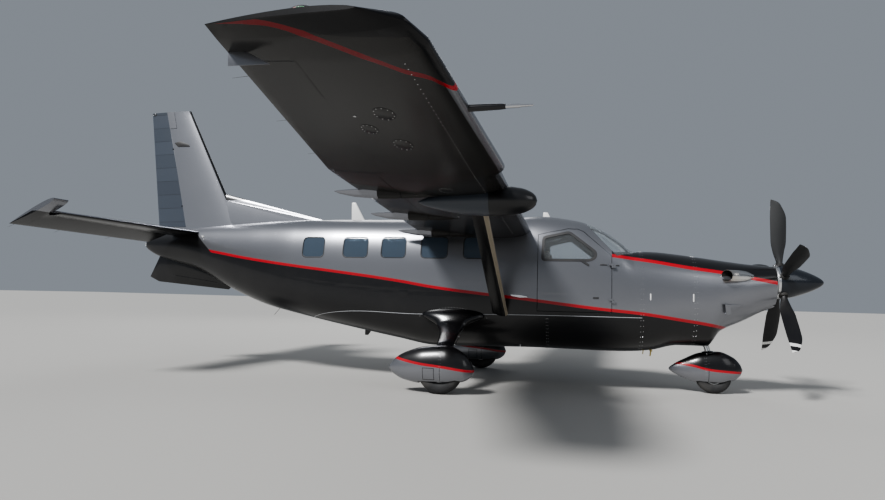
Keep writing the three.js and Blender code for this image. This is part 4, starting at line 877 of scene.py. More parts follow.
def body_paint(tree, paint):
    _, along, _, height = object_axes(tree)
    below, low_stripe = stripe_masks(tree, height, line_value(tree, along, LOW_LINE), paint.stripe_width)
    lower = line_value(tree, along, HIGH_LINE)
    under_high, high_stripe = stripe_masks(tree, height, lower, paint.stripe_width * 1.1)
    nose = more(tree, along, x_of(NOSE_PAINT_END))
    over = both(tree, without(tree, under_high), nose)
    slant = maths(tree, "MULTIPLY_ADD", height, TAIL_SLANT, along)
    stern = both(tree, less(tree, slant, TAIL_SLANT_EDGE), less(tree, height, TAIL_HEIGHT - 0.02))
    dark = either(tree, either(tree, below, over), stern)
    red = both(tree, either(tree, low_stripe, both(tree, high_stripe, nose)), without(tree, stern))
    base = mixed(tree, dark, paint.silver, paint.black)
    seam = less(tree, apart(tree, height, line_value(tree, along, POD_SEAM)), SEAM_HALF)
    run = both(tree, less(tree, along, x_of(FIREWALL)), more(tree, along, x_of(POD_SEAM_END)))
    seam = both(tree, seam, run)
    base = mixed(tree, seam, base, SEAM_COLOUR)
    made = painted(tree, without(tree, dark), red, base, paint.red)
    made["Height"] = either(tree, rivet_rows(tree, height, along, BODY_PITCH, 0.42),
                            rivet_rows(tree, along, height, BODY_PITCH, 0.21))
    return made


def pant_paint(tree, paint, line, seam, cover):
    """Black over silver with a red stripe between, a seam round it and a square cover's outline."""
    _, along, _, height = object_axes(tree)
    below, stripe = stripe_masks(tree, height, line_value(tree, along, line), paint.stripe_width * 0.75)
    base = mixed(tree, below, paint.black, paint.silver)
    gaps = less(tree, apart(tree, along, x_of(seam)), GAP_HALF)
    if cover:
        s, z, half = cover
        square = either(tree, apart(tree, along, x_of(s)), apart(tree, height, z))
        gaps = either(tree, gaps, less(tree, apart(tree, square, half), GAP_HALF))
    made = painted(tree, below, stripe, mixed(tree, gaps, base, paint.black), paint.red)
    made["Height"] = both(tree, gaps, -1.0)
    return made


def wing_paint(tree, paint):
    """Silver above, dark below, black tips and a red arc; reads the chart and Object coordinates."""
    _, along, span, _ = object_axes(tree)
    back = chart_distance(tree)
    under = less(tree, back, UNDER_SHADE_EDGE)
    out = maths(tree, "ABSOLUTE", span)
    tip = either(tree, more(tree, out, line_value(tree, along, WING_TIP_LINE)), more(tree, out, TIP_PAINT))
    away = minus(tree, out, line_value(tree, along, WING_ARC))
    arc = both(tree, less(tree, maths(tree, "ABSOLUTE", away), ARC_HALF), without(tree, tip))
    outer = both(tree, more(tree, away, 0.0), more(tree, back, OUTER_EDGE))
    dark = either(tree, under, tip)
    tail = less(tree, along, x_of(FAIRING_SUNLIT_FRONT))
    # Painted shade: the underside is silver paint but takes the dark grey under colour
    base = mixed(tree, under, paint.silver, paint.under)
    base = mixed(tree, either(tree, tip, outer), base, paint.black)
    silver = without(tree, either(tree, dark, outer))
    # Painted light: the fairings' tails stay silver where sunlight fell on them
    for place in FAIRING_PLACES:
        sunlit_fairing_tail = both(tree, less(tree, apart(tree, out, place), FAIRING_HALF), tail)
        base = mixed(tree, sunlit_fairing_tail, base, paint.silver)
        silver = either(tree, silver, sunlit_fairing_tail)
    # Painted shade: on the underside the red arc is darkened to 0.45 of its red
    stripe = mixed(tree, under, paint.red, tuple(0.45 * value for value in paint.red))
    made = painted(tree, silver, arc, base, stripe)
    made["Height"] = either(tree, rivet_rows(tree, along, out, FOIL_PITCH, 0.36),
                            rivet_rows(tree, out, along, FOIL_PITCH, 0.33))
    return made


def tail_paint(tree, paint):
    """Silver above and black below a plane through the tail's hinge that follows its droop."""
    _, along, _, height = object_axes(tree)
    behind = maths(tree, "MINIMUM", minus(tree, along, x_of(TAIL_HINGE)), 0.0)
    middle = maths(tree, "MULTIPLY_ADD", behind, math.tan(ELEVATOR_DROOP), TAIL_HEIGHT)
    under = less(tree, height, middle)
    made = painted(tree, without(tree, under), 0.0, mixed(tree, under, paint.silver, paint.black),
                   paint.red)
    made["Height"] = rivet_rows(tree, height, along, FOIL_PITCH, 0.27)
    return made


def fin_paint(tree, paint):
    """Silver with a dark leading edge, read from the chart, and riveted ribs."""
    _, along, _, height = object_axes(tree)
    back = chart_distance(tree)
    edge = less(tree, maths(tree, "ABSOLUTE", back), FIN_EDGE)
    edge = both(tree, edge, more(tree, height, FIN_EDGE_BASE))
    # Painted light: the fin's silver is lightened 1.3 times, as if in sunlight
    sunlit_silver = tuple(1.3 * v for v in paint.silver)
    made = painted(tree, without(tree, edge), 0.0, mixed(tree, edge, sunlit_silver, paint.black), paint.red)
    made["Height"] = either(tree, rivet_rows(tree, along, height, BODY_PITCH, 0.34),
                            rivet_rows(tree, height, along, BODY_PITCH, 0.5))
    return made


def rudder_paint(tree, paint):
    """Slate panels in a grid of ribs, each a little lighter or darker."""
    _, along, _, height = object_axes(tree)
    bay = maths(tree, "FLOOR", maths(tree, "DIVIDE", height, RUDDER_BAY))
    shade = add_node(tree, "TexWhiteNoise", noise_dimensions="1D")
    wire(tree, bay, shade.inputs["W"])
    share = both(tree, shade.outputs["Value"], 0.35)
    light = tuple(1.7 * value for value in paint.slate)
    rib = less(tree, maths(tree, "FRACT", maths(tree, "DIVIDE", height, RUDDER_BAY)), 0.03)
    panel = mixed(tree, share, paint.slate, light)
    slate = mixed(tree, both(tree, rib, 0.6), panel, paint.black)
    line = maths(tree, "MULTIPLY_ADD", height, -RUDDER_RAKE, x_of(RUDDER_FOOT))
    ahead = more(tree, along, line)
    # Painted shade: slate behind the raked line, silver on the lit horn ahead of it
    made = painted(tree, ahead, 0.0, mixed(tree, ahead, slate, paint.silver), paint.red)
    made["Height"] = rivet_rows(tree, along, height, FOIL_PITCH, RUDDER_BAY)
    return made


def radius_about(tree, across, height, middle):
    rise = minus(tree, height, middle)
    squares = maths(tree, "ADD", both(tree, across, across), both(tree, rise, rise))
    return maths(tree, "SQRT", squares)


def blade_paint(tree, paint):
    """Black with white bands near the tips."""
    _, _, across, height = object_axes(tree)
    radius = radius_about(tree, across, height, HUB_HEIGHT)
    low, high, tip = BLADE_BANDS
    band = both(tree, more(tree, radius, low), less(tree, radius, high))
    bands = either(tree, more(tree, radius, tip), band)
    return {"Colour": mixed(tree, bands, paint.black, BAND_WHITE)}


def spinner_paint(tree, paint):
    """Slate with a polished band round its back edge."""
    _, along, _, _ = object_axes(tree)
    band = less(tree, along, x_of(SPINNER_BAND))
    return {
        "Colour": mixed(tree, band, tuple(0.45 * v for v in paint.slate), BAND_STEEL),
        "Metallic": maths(tree, "MULTIPLY_ADD", band, 0.5, 0.5),
    }


def pod_paint(tree, paint):
    """Black radome on a dark grey body."""
    _, along, _, _ = object_axes(tree)
    dome = more(tree, along, x_of(RADOME_SEAM))
    return {"Colour": mixed(tree, dome, tuple(0.8 * v for v in paint.slate), paint.black)}


def hot_steel(tree, paint):
    """Polished steel that browns towards the stack's mouth and is sooty inside."""
    _, along, _, _ = object_axes(tree)
    heat = add_node(tree, "MapRange", {"From Min": x_of(HEAT_START), "From Max": x_of(EXHAUST[-1][0])})
    wire(tree, along, heat.inputs[0])
    browned = mixed(tree, heat.outputs[0], STACK_STEEL, STACK_BROWN)
    return {"Colour": browned, "Metallic": 1.0}


def strut_paint(tree, paint):
    """Black with a tan guard strip along its leading edge, a little wider towards its head."""
    _, along, across, _ = object_axes(tree)
    slope = (STRUT_HEAD[0] - STRUT_HEAD[3] / 2 - STRUT_FOOT[0] + STRUT_FOOT[3] / 2)
    slope /= STRUT_HEAD[1] - STRUT_FOOT[1]
    out = minus(tree, maths(tree, "ABSOLUTE", across), STRUT_FOOT[1])
    edge = x_of(STRUT_FOOT[0] - STRUT_FOOT[3] / 2) - GUARD_WIDTH
    lead = maths(tree, "MULTIPLY_ADD", out, -slope - GUARD_SPREAD, edge)
    return {"Colour": mixed(tree, more(tree, along, lead), paint.black, GUARD_TAN)}


# Pieces


def face_out(bm):
    bmesh.ops.recalc_face_normals(bm, faces=bm.faces)


def lofted(rings, sides, place):
    """A closed skin: a cylinder cut into rings, each point then put in place."""
    bm = bmesh.new()
    bmesh.ops.create_cone(bm, cap_ends=True, segments=sides, radius1=1, radius2=1, depth=1)
    uprights = [e for e in bm.edges if abs(e.verts[0].co.z - e.verts[1].co.z) > 0.5]
    bmesh.ops.subdivide_edges(bm, edges=uprights, cuts=rings - 2, use_grid_fill=True)
    for vert in bm.verts:
        vert.co = place(vert.co.z + 0.5, math.atan2(vert.co.y, vert.co.x) / (2 * math.pi) % 1)
    bm.normal_update()
    face_out(bm)
    return bm


def spun(profile, centre, axis, steps=64):
    """A turned shape from (distance along the axis, radius) pairs, closed on itself or on the axis."""
    axis = Vector(axis).normalized()
    side = axis.orthogonal().normalized()
    bm = bmesh.new()
    verts = [bm.verts.new(Vector(centre) + axis * a + side * r) for a, r in profile]
    edges = [bm.edges.new(pair) for pair in zip(verts, verts[1:])]
    if profile[0][1] > 0 or profile[-1][1] > 0:
        edges.append(bm.edges.new((verts[-1], verts[0])))
    bmesh.ops.spin(bm, geom=verts + edges, cent=centre, axis=axis, angle=2 * math.pi, steps=steps,
                   use_merge=True)
    bmesh.ops.remove_doubles(bm, verts=bm.verts, dist=1e-5)
    face_out(bm)
    return bm


def add_rod(bm, start, end, radius, sides=20, far=None):
    """A capped rod or cone between two points."""
    start, end = Vector(start), Vector(end)
    turn = (end - start).to_track_quat("Z", "Y").to_matrix().to_4x4()
    bmesh.ops.create_cone(
        bm, cap_ends=True, segments=sides, radius1=radius, radius2=radius if far is None else far,
        depth=(end - start).length, matrix=Matrix.Translation((start + end) / 2) @ turn)


def add_pipe(bm, points, radius, sides=12):
    """Rods joined end to end with a ball at each bend."""
    for start, end in zip(points, points[1:]):
        add_rod(bm, start, end, radius, sides)
    for point in points[1:-1]:
        add_ball(bm, point, radius * 1.02, (sides, 8))


def add_ball(bm, centre, size, rows=(24, 16)):
    """A ball, or an egg where size has three half lengths."""
    spread = Matrix.Diagonal((*size, 1)) if isinstance(size, tuple) else Matrix.Scale(size, 4)
    bmesh.ops.create_uvsphere(bm, u_segments=rows[0], v_segments=rows[1], radius=1,
                              matrix=Matrix.Translation(centre) @ spread)


def round_edges(bm, edges, offset):
    bmesh.ops.bevel(bm, geom=edges, offset=offset, offset_type="OFFSET", segments=2, profile=0.5,
                    affect="EDGES", material=-1)


def add_block(bm, centre, size, bevel=0.003, turn=None):
    """A block with rounded edges."""
    place = Matrix.Translation(centre) @ (turn or Matrix()) @ Matrix.Diagonal((*size, 1))
    made = bmesh.ops.create_cube(bm, size=1, matrix=place)
    edges = list({edge for vert in made["verts"] for edge in vert.link_edges})
    round_edges(bm, edges, bevel)


def add_plate(bm, outline, half, bevel=0.0):
    """An upright plate from an outline of points, half its thickness to either side."""
    shift = Vector((0, half, 0))
    face = bm.faces.new([bm.verts.new(Vector(point) - shift) for point in outline])
    made = bmesh.ops.extrude_face_region(bm, geom=[face])
    top = [item for item in made["geom"] if isinstance(item, bmesh.types.BMVert)]
    bmesh.ops.translate(bm, vec=2 * shift, verts=top)
    if bevel:
        edges = list({edge for vert in top for edge in vert.link_edges} | set(face.edges))
        round_edges(bm, edges, bevel)
    face_out(bm)


def studs(name, body, places, radius, rise, finish="bare_steel", sides=8):
    """Low round heads, each on a (point, normal) place."""
    bm = bmesh.new()
    for point, normal in places:
        turn = normal.to_track_quat("Z", "Y").to_matrix().to_4x4()
        bmesh.ops.create_cone(bm, cap_ends=True, segments=sides, radius1=radius, radius2=radius * 0.75,
                              depth=2 * rise, matrix=Matrix.Translation(point) @ turn)
    return finish_mesh(name, bm, finish, body)


def rounded(outline, radius, spacing=0.02):
    """An outline with rounded corners and points a spacing apart."""
    points = []
    for i, corner in enumerate(outline):
        corner = Vector(corner)
        ends = [Vector(outline[i - 1]) - corner, Vector(outline[(i + 1) % len(outline)]) - corner]
        a, b = (corner + way.normalized() * min(radius, 0.45 * way.length) for way in ends)
        for k in range(7):
            u = k / 6
            points.append(a * (1 - u) ** 2 + corner * (2 * u * (1 - u)) + b * u * u)
    filled = []
    for p, q in zip(points, points[1:] + points[:1]):
        count = max(1, int((q - p).length / spacing))
        filled += [p.lerp(q, k / count) for k in range(count)]
    return filled


def swollen(points, gap):
    """An outline moved outwards by a gap."""
    area = sum(p.x * q.y - q.x * p.y for p, q in zip(points, points[1:] + points[:1]))
    way = 1 if area > 0 else -1
    moved = []
    for i, point in enumerate(points):
        run = (points[(i + 1) % len(points)] - points[i - 1]).normalized()
        moved.append(point + Vector((run.y, -run.x)) * way * gap)
    return moved


def add_ring(bm, place, outline, gap, width, rise, sink=0.004):
    """A raised band round an outline; place(s, height, lift) puts it on its skin."""
    inner, outer = swollen(outline, gap), swollen(outline, gap + width)
    loops = []
    for share, lift in ((0, -sink), (0, rise), (1 / 3, rise), (2 / 3, rise), (1, rise), (1, -sink)):
        verts = [bm.verts.new(place(*p.lerp(q, share), lift)) for p, q in zip(inner, outer)]
        loops.append([bm.edges.new(pair) for pair in zip(verts, verts[1:] + verts[:1])])
    for first, second in zip(loops, loops[1:] + loops[:1]):
        bmesh.ops.bridge_loops(bm, edges=first + second)
    face_out(bm)


def add_cover(bm, place, outline, rise, sink=0.003):
    """A thin cover over an outline, with a sloping edge."""
    loops = []
    for gap, lift in ((0.0, -sink), (0.0, rise * 0.6), (-0.003, rise)):
        verts = [bm.verts.new(place(point.x, point.y, lift)) for point in swollen(outline, gap)]
        loops.append([bm.edges.new(pair) for pair in zip(verts, verts[1:] + verts[:1])])
    for first, second in zip(loops, loops[1:]):
        bmesh.ops.bridge_loops(bm, edges=first + second)
    for loop in (loops[0], loops[-1]):
        bmesh.ops.contextual_create(bm, geom=loop)
    face_out(bm)


def window_outline(front, rear):
    corners = [(rear, WINDOW_BASE), (rear, WINDOW_TOP), (front, WINDOW_TOP), (front, WINDOW_BASE)]
    return rounded(corners, WINDOW_CORNER * 1.15)


def build_stage(context):
    scene = context.scene
    forward = Vector((
        -math.sin(CAMERA_YAW) * math.cos(CAMERA_PITCH),
        math.cos(CAMERA_YAW) * math.cos(CAMERA_PITCH),
        math.sin(CAMERA_PITCH),
    ))
    level = Vector((math.cos(CAMERA_YAW), math.sin(CAMERA_YAW), 0))
    upright = level.cross(forward)
    right = level * math.cos(CAMERA_ROLL) + upright * math.sin(CAMERA_ROLL)
    up = upright * math.cos(CAMERA_ROLL) - level * math.sin(CAMERA_ROLL)
    lens = bpy.data.cameras.new("camera")
    lens.lens, lens.sensor_width, lens.sensor_fit = CAMERA_LENS, SENSOR_WIDTH, "HORIZONTAL"
    lens.clip_end = 400
    camera = bpy.data.objects.new("camera", lens)
    turn = Matrix((right, up, -forward)).transposed().to_4x4()
    camera.matrix_world = Matrix.Translation(CAMERA_PLACE) @ turn
    scene.collection.objects.link(camera)
    scene.camera = camera

    bm = bmesh.new()
    bmesh.ops.create_grid(bm, x_segments=2, y_segments=2, size=150)
    mesh = bpy.data.meshes.new("floor")
    bm.to_mesh(mesh)
    bm.free()
    floor = bpy.data.objects.new("floor", mesh)
    scene.collection.objects.link(floor)
    material = bpy.data.materials.new("studio_floor")
    material.use_nodes = True
    shader = material.node_tree.nodes["Principled BSDF"]
    shader.inputs["Base Color"].default_value = (0.43, 0.42, 0.40, 1)
    shader.inputs["Roughness"].default_value = 0.8
    mesh.materials.append(material)

    world = bpy.data.worlds.new("studio")
    world.use_nodes = True
    world.node_tree.nodes["Background"].inputs[0].default_value = (0.62, 0.68, 0.76, 1)
    world.node_tree.nodes["Background"].inputs[1].default_value = 0.36
    scene.world = world
    scene.view_settings.look = "AgX - Medium High Contrast"
    lamps = [
        ("key", "SUN", (-8, -13, 16), 0.2, 4.2),
        ("front", "AREA", (15, -10, 9), 8, 350),
        ("back", "AREA", (-6, 17, 14), 10, 700),
    ]
    for name, kind, place, size, power in lamps:
        light = bpy.data.lights.new(name, kind)
        light.energy = power
        if kind == "SUN":
            light.angle = size
        else:
            light.size = size
        lamp = bpy.data.objects.new(name, light)
        lamp.location = place
        lamp.rotation_mode = "QUATERNION"
        lamp.rotation_quaternion = (Vector((0, 0, 1.5)) - Vector(place)).to_track_quat("-Z", "Y")
        scene.collection.objects.link(lamp)


MATERIALS = {}
SKINS = {}


def build_materials(context):
    paint = context.scene.plane_paint
    groups = {group.name: group for group in (surface_group(), rivet_group())}

    def make(name, colour, roughness=0.3, *dust, **rest):
        MATERIALS[name] = shader_material(name, paint, groups, colour, roughness, *dust, **rest)

    gloss = {"Coat_Weight": 0.3, "Coat_Roughness": 0.04, "dust_colour": (0.12, 0.11, 0.10)}
    satin = {"Specular_IOR_Level": 0.3, "dust_colour": (0.12, 0.11, 0.10)}
    painted_kinds = {
        "body_paint": body_paint,
        "fin_paint": fin_paint,
        "main_pant_paint": partial(pant_paint, line=MAIN_PANT_LINE, seam=MAIN_PANT_SEAM, cover=PANT_COVER),
        "nose_pant_paint": partial(pant_paint, line=NOSE_PANT_LINE, seam=NOSE_PANT_SEAM, cover=None),
        "silver_paint": tuple(paint.silver),
    }
    for name, colour in painted_kinds.items():
        metal = {} if callable(colour) else {"Metallic": 0.8}
        make(name, colour, 0.3, 0.04, **gloss, **metal)
    make("wing_paint", wing_paint, 0.24, 0.04, **satin)
    make("tail_paint", tail_paint, 0.24, 0.04, **satin)
    make("black_paint", tuple(paint.black), 0.22, 0.05, **gloss)
    make("slate_paint", tuple(paint.slate), 0.3, 0.1, **gloss)
    # Painted shade: dark grey standing for the shade on the wings' silver underside and its covers
    make("under_paint", tuple(paint.under), 0.24, 0.04, **satin)
    make("pod_paint", pod_paint, 0.3, 0.05, **gloss)
    make("strut_paint", strut_paint, 0.25, 0.03, **satin)
    make("rudder_paint", rudder_paint, 0.38, 0.05, **gloss)
    make("blade_paint", blade_paint, 0.38, 0.03)
    make("blade_back", (0.014, 0.015, 0.016), 0.42, 0.02, grain=(200.0, 0.1))
    make("spinner_paint", spinner_paint, 0.24, 0.05, **gloss)
    make("white_enamel", (0.78, 0.78, 0.76), 0.28, 0.15, **gloss)
    make("tyre_rubber", (0.018, 0.018, 0.019), 0.7, 0.25, grain=(160.0, 0.4))
    make("seal_rubber", (0.012, 0.012, 0.013), 0.6, 0.2, grain=(240.0, 0.3))
    make("bare_steel", (0.62, 0.62, 0.63), 0.25, grain=(500.0, 0.06), Metallic=1.0)
    make("polished_steel", (0.82, 0.82, 0.83), 0.1, 0.03, Metallic=1.0)
    make("hot_steel", hot_steel, 0.16, 0.25, dust_colour=(0.08, 0.06, 0.05))
    make("cast_alloy", (0.6, 0.61, 0.62), 0.42, grain=(240.0, 0.2), Metallic=1.0)
    make("brass", (0.55, 0.43, 0.14), 0.35, grain=(300.0, 0.1), Metallic=0.7)
    make("dark_plastic", (0.03, 0.03, 0.032), 0.5, grain=(420.0, 0.3))
    make("screen_glass", (0.008, 0.010, 0.014), 0.08, 0.03, grain=(30.0, 0.02))
    # A near-black lining inside the shell, also painted shade for the unlit cabin
    make("cabin_lining", (0.035, 0.036, 0.040), 0.85, 0.05, grain=(700.0, 0.8))
    make("carpet", (0.06, 0.06, 0.065), 0.95, grain=(900.0, 1.6))
    make("leather", (0.20, 0.17, 0.14), 0.5, grain=(260.0, 0.9))
    glass = {"Transmission_Weight": 0.95, "IOR": 1.45}
    make("clear_glass", (0.86, 0.9, 0.92), 0.03, 0.02, grain=(3.0, 0.02), **glass)
    make("lamp_glass", (0.9, 0.92, 0.93), 0.05, 0.02, grain=(3.0, 0.02), **glass)
    make("tinted_glass", (0.10, 0.135, 0.18), 0.05, 0.02, grain=(3.0, 0.02),
         Transmission_Weight=0.45, IOR=1.45)
    make("soot", (0.012, 0.011, 0.010), 0.9, 0.1, grain=(60.0, 0.6))
    make("red_lamp", (0.6, 0.02, 0.02), 0.1, 0.02)
    make("green_lamp", (0.02, 0.35, 0.10), 0.1, 0.02)
    stations = np.arange(BODY[-1].s + 0.02, BODY[0].s - 0.03, -0.01)
    SKINS["body"] = hull_skin(BODY, stations, 0.0, BODY_SIDES, 768, body_loop,
                              lambda top, base, half, wide, up, low: wide)
    for mirror, side in SIDES:
        SKINS["wing_" + side] = foil_skin(1, WING, WING_HEIGHT, DIHEDRAL, CAMBER, INCIDENCE, mirror)


# Finishes of the slots whose finish has another name
SLOT_FINISH = {
    "trim_carpet": "carpet", "panel_plastic": "dark_plastic", "wheel_alloy": "cast_alloy",
    "engine_steel": "bare_steel",
}


def build_nodes(context):
    slots = {part["node"]: part["material_slot"] for part in frame["record"]["subparts"]}
    for node, piece in NODES.items():
        piece.data.materials.clear()
        piece.data.materials.append(MATERIALS[SLOT_FINISH.get(slots[node], slots[node])])


BODY_NODES = (
    "cowl_front", "cowl_rear", "cabin_shell", "tail_cone", "belly_pod", "crew_door_left", "crew_door_right",
    "cargo_door_upper", "cargo_door_lower",
)
CLEAR_NODES = ("crew_door_glass_left", "crew_door_glass_right", "windshield_left", "windshield_right")
TINTED_NODES = ("cargo_door_windows", "cabin_windows_left", "cabin_windows_right")


def build_body(context):
    for node in BODY_NODES:
        slot = "black_paint" if node == "belly_pod" else "silver_paint"
        # Inner faces sunk below the skin take the lining, with its painted shade
        dressed(node, "body_paint", SKINS["body"], lining="cabin_lining")
    for slot, nodes in (("clear_glass", CLEAR_NODES), ("tinted_glass", TINTED_NODES)):
        for node in nodes:
            dressed(node, slot, SKINS["body"])


def body_place(side):
    return lambda s, height, lift: SKINS["body"].on_side(s, height, side, lift)[0]


def build_frames(context):
    """Seals round the cabin windows and dark frames round the crew doors' glass."""
    rings = [
        ("window_seals_right", "airframe", -1, WINDOWS),
        ("window_seals_left", "airframe", 1, WINDOWS[:3]),
        ("cargo_window_seals", "cargo_door_upper", 1, WINDOWS[3:]),
    ]
    for name, body, side, windows in rings:
        bm = bmesh.new()
        for front, rear in windows:
            add_ring(bm, body_place(side), window_outline(front, rear), -0.001, 0.012, 0.0025)
        finish_mesh(name, bm, "seal_rubber", body)
    glass = rounded(CREW_GLASS, 0.05)
    for side, name in SIDES:
        bm = bmesh.new()
        add_ring(bm, body_place(side), glass, -0.026, 0.040, 0.004)
        finish_mesh("crew_glass_frame_" + name, bm, "dark_plastic", "crew_door_" + name)


# Cowl scoops: front, upper rear and lower rear corners, and where the mouth begins; latches as distance
# aft, base and top
SCOOP = ((1.160, 1.318), (1.440, 1.324), (1.420, 1.196))
SCOOP_MOUTH, SCOOP_RISE, SCOOP_WALL, SCOOP_DEPTH = 1.40, 0.05, 0.004, 0.07
COWL_LATCHES = ((2.439, 1.352, 1.446), (1.848, 1.345, 1.455))


def build_cowl(context):
    """Screws, latches, the side scoops, the drain mast and the exhaust stacks."""
    skin = SKINS["body"]
    places = []
    for s in (COWL_SPLIT - 0.018, COWL_SPLIT + 0.018, FIREWALL - 0.018, FIREWALL + 0.018):
        top = 46 if s < 2 else 56
        places += [skin.on_round(s, -math.pi + 2 * math.pi * (k + 0.5) / top) for k in range(top)]
    places += [skin.on_side(3.90 + shift, z, side) for side in (1, -1) for shift in (-0.012, 0.012)
               for z in np.arange(0.64, 1.05, 0.05)]
    studs("panel_screws", "airframe", places, 0.0065, 0.0016)
    for s, base, top in COWL_LATCHES:
        bm = bmesh.new()
        for side in (1, -1):
            corners = [(s + 0.008, base), (s + 0.008, top), (s - 0.008, top), (s - 0.008, base)]
            add_cover(bm, body_place(side), rounded(corners, 0.007, 0.03), 0.004)
        finish_mesh(f"cowl_latch_{s:.3f}".replace(".", "_"), bm, "white_enamel")
    for side, name in SIDES:
        place = body_place(side)
        bm = bmesh.new()
        nose, high, low = SCOOP
        base = [bm.verts.new(place(s, z, -0.004)) for s, z in (nose, high, low)]
        lifts = ((nose, 0.001), (high, SCOOP_RISE), (low, SCOOP_RISE))
        raised = [bm.verts.new(place(s, z, lift)) for (s, z), lift in lifts]
        for ring in (base, raised[::-1], [base[0], base[1], raised[1], raised[0]],
                     [base[1], base[2], raised[2], raised[1]], [base[2], base[0], raised[0], raised[2]]):
            bm.faces.new(ring)
        face_out(bm)
        aft = [face for face in bm.faces if all(vert.co.x < x_of(SCOOP_MOUTH) for vert in face.verts)]
        bmesh.ops.inset_region(bm, faces=aft, thickness=SCOOP_WALL)
        mouth = list({vert for face in aft for vert in face.verts})
        bmesh.ops.translate(bm, vec=(SCOOP_DEPTH, 0, 0), verts=mouth)
        sides = [edge for edge in bm.edges if edge.calc_length() > 0.2]
        round_edges(bm, sides, SCOOP_WALL)
        piece = finish_mesh("cowl_scoop_" + name, bm, "silver_paint")
        # Painted shade: the back of each scoop's shallow mouth is dark plastic, standing for the dark duct
        # inside
        piece.data.materials.append(MATERIALS["dark_plastic"])
        for face in piece.data.polygons:
            if face.normal.x < -0.5 and face.center.x > x_of(SCOOP_MOUTH):
                face.material_index = 1
    bm = bmesh.new()
    add_rod(bm, at(2.383, -0.10, 0.62), at(2.398, -0.10, 0.512), 0.014, far=0.009)
    add_rod(bm, at(2.383, -0.10, 0.60), at(2.385, -0.10, 0.585), 0.022)
    add_rod(bm, at(2.50, -0.18, 0.62), at(2.51, -0.18, 0.545), 0.007)
    finish_mesh("drain_mast", bm, "brass")
    for side, name in SIDES:
        build_exhaust(side, name)


def build_exhaust(side, name):
    s, y, radius = (np.array(values) for values in zip(*EXHAUST))
    outer = np.concatenate([np.linspace(0, 1, 30), np.full(2, 1.0), np.linspace(1, 0.25, 14)])
    inset = np.concatenate([np.zeros(30), [EXHAUST_WALL * 0.5], np.full(15, EXHAUST_WALL)])

    def place(t, turn):
        k = int(round(t * (len(outer) - 1)))
        station = s[0] + (s[-1] - s[0]) * outer[k]
        r = float(eased(s, radius, station)) - inset[k]
        angle = 2 * math.pi * turn
        across = float(eased(s, y, station)) + 0.8 * r * math.cos(angle)
        slant = 0.06 * (1 + math.cos(angle)) * outer[k] ** 3
        return x_of(station - slant), side * across, EXHAUST_HEIGHT + r * math.sin(angle)

    bm = lofted(len(outer), 48, place)
    piece = finish_mesh("exhaust_stack_" + name, bm, "hot_steel")
    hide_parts("exhaust_" + name)
    piece.data.materials.append(MATERIALS["soot"])
    for face in piece.data.polygons:
        middle = float(eased(s, y, NOSE_TIP - face.center.x)) * side
        away = Vector((0, face.center.y - middle, face.center.z - EXHAUST_HEIGHT))
        if face.normal.dot(away) < 0 and face.center.x < x_of(s[0] + 0.1):
            face.material_index = 1


def build_wings(context):
    # The wing paint holds painted shade on the undersides
    for _, side in SIDES:
        for node in ("wing_", "flap_", "aileron_"):
            dressed(node + side, "wing_paint", SKINS["wing_" + side],
                    steps=(0.07, 0.3, 0.012), chart=True)


# Round covers under the wings: distance aft, place across, and their half sizes
WING_COVERS = [
    (4.778, 5.633, 0.085, 0.115), (5.004, 5.330, 0.07, 0.10), (4.834, 4.984, 0.085, 0.125),
    (4.80, 3.55, 0.08, 0.11), (4.80, 2.60, 0.08, 0.11), (4.80, 1.60, 0.08, 0.11),
]


def build_wing_fittings(context):
    """Round inspection covers, screws, lights, wicks, fuel caps and the lower vents."""
    for mirror, side in SIDES:
        skin = SKINS["wing_" + side]

        def low(s, y, lift):
            return skin.on_foil(mirror * y, s, False, lift)[0]

        covers, screws = bmesh.new(), []
        for s, y, half_s, half_y in WING_COVERS:
            turns = np.linspace(0, 2 * math.pi, 32, endpoint=False)
            outline = [Vector((s + half_s * math.cos(a), y + half_y * math.sin(a))) for a in turns]
            add_cover(covers, low, outline, 0.0018)
            for a in turns[::3]:
                spot = (s + (half_s - 0.012) * math.cos(a), y + (half_y - 0.012) * math.sin(a))
                screws.append(skin.on_foil(mirror * spot[1], spot[0], False, 0.002))
        # The covers carry the underside's painted shade
        finish_mesh("wing_covers_" + side, covers, "under_paint")
        for y in np.arange(0.95, 6.4, 0.07):
            screws.append(skin.on_foil(mirror * y, 4.40, False, 0.0))
        studs("wing_screws_" + side, "airframe", screws, 0.0055, 0.001, sides=6)
        bm = bmesh.new()
        for s, y in ((4.70, 1.9), (4.70, 4.9)):
            point, normal = skin.on_foil(mirror * y, s, True, 0.002)
            add_rod(bm, point - normal * 0.012, point + normal * 0.003, 0.045, 32)
            add_rod(bm, point, point + normal * 0.007, 0.012, 16)
        for s, y in ((5.02, 5.6), (4.95, 2.2)):
            point, normal = skin.on_foil(mirror * y, s, False, 0.0)
            add_rod(bm, point - normal * 0.01, point + normal * 0.006, 0.013, 16)
        finish_mesh("wing_caps_" + side, bm, "bare_steel")
        bm = bmesh.new()
        for y, trail in ((4.50, 5.80), (5.35, 5.66), (6.15, 5.55)):
            foot, _ = skin.on_foil(mirror * y, trail - 0.02, True, -0.001)
            add_rod(bm, foot + Vector((0.02, 0, 0)), foot - Vector((0.03, 0, 0)), 0.004, 8)
            add_rod(bm, foot - Vector((0.03, 0, 0)), foot - Vector((0.17, 0, 0.008)), 0.0022, 8, far=0.001)
        finish_mesh("wing_wicks_" + side, bm, "dark_plastic", "aileron_" + side)
        bm = bmesh.new()
        # A plate cut to the shape of the sunlit patch on it: partly painted light
        add_plate(bm, [at(s, mirror * 6.55, z) for s, z in SUNLIT_TIP_PLATE], 0.002, 0.0006)
        finish_mesh("tip_fence_" + side, bm, "silver_paint")
        build_tip_light(side, mirror)


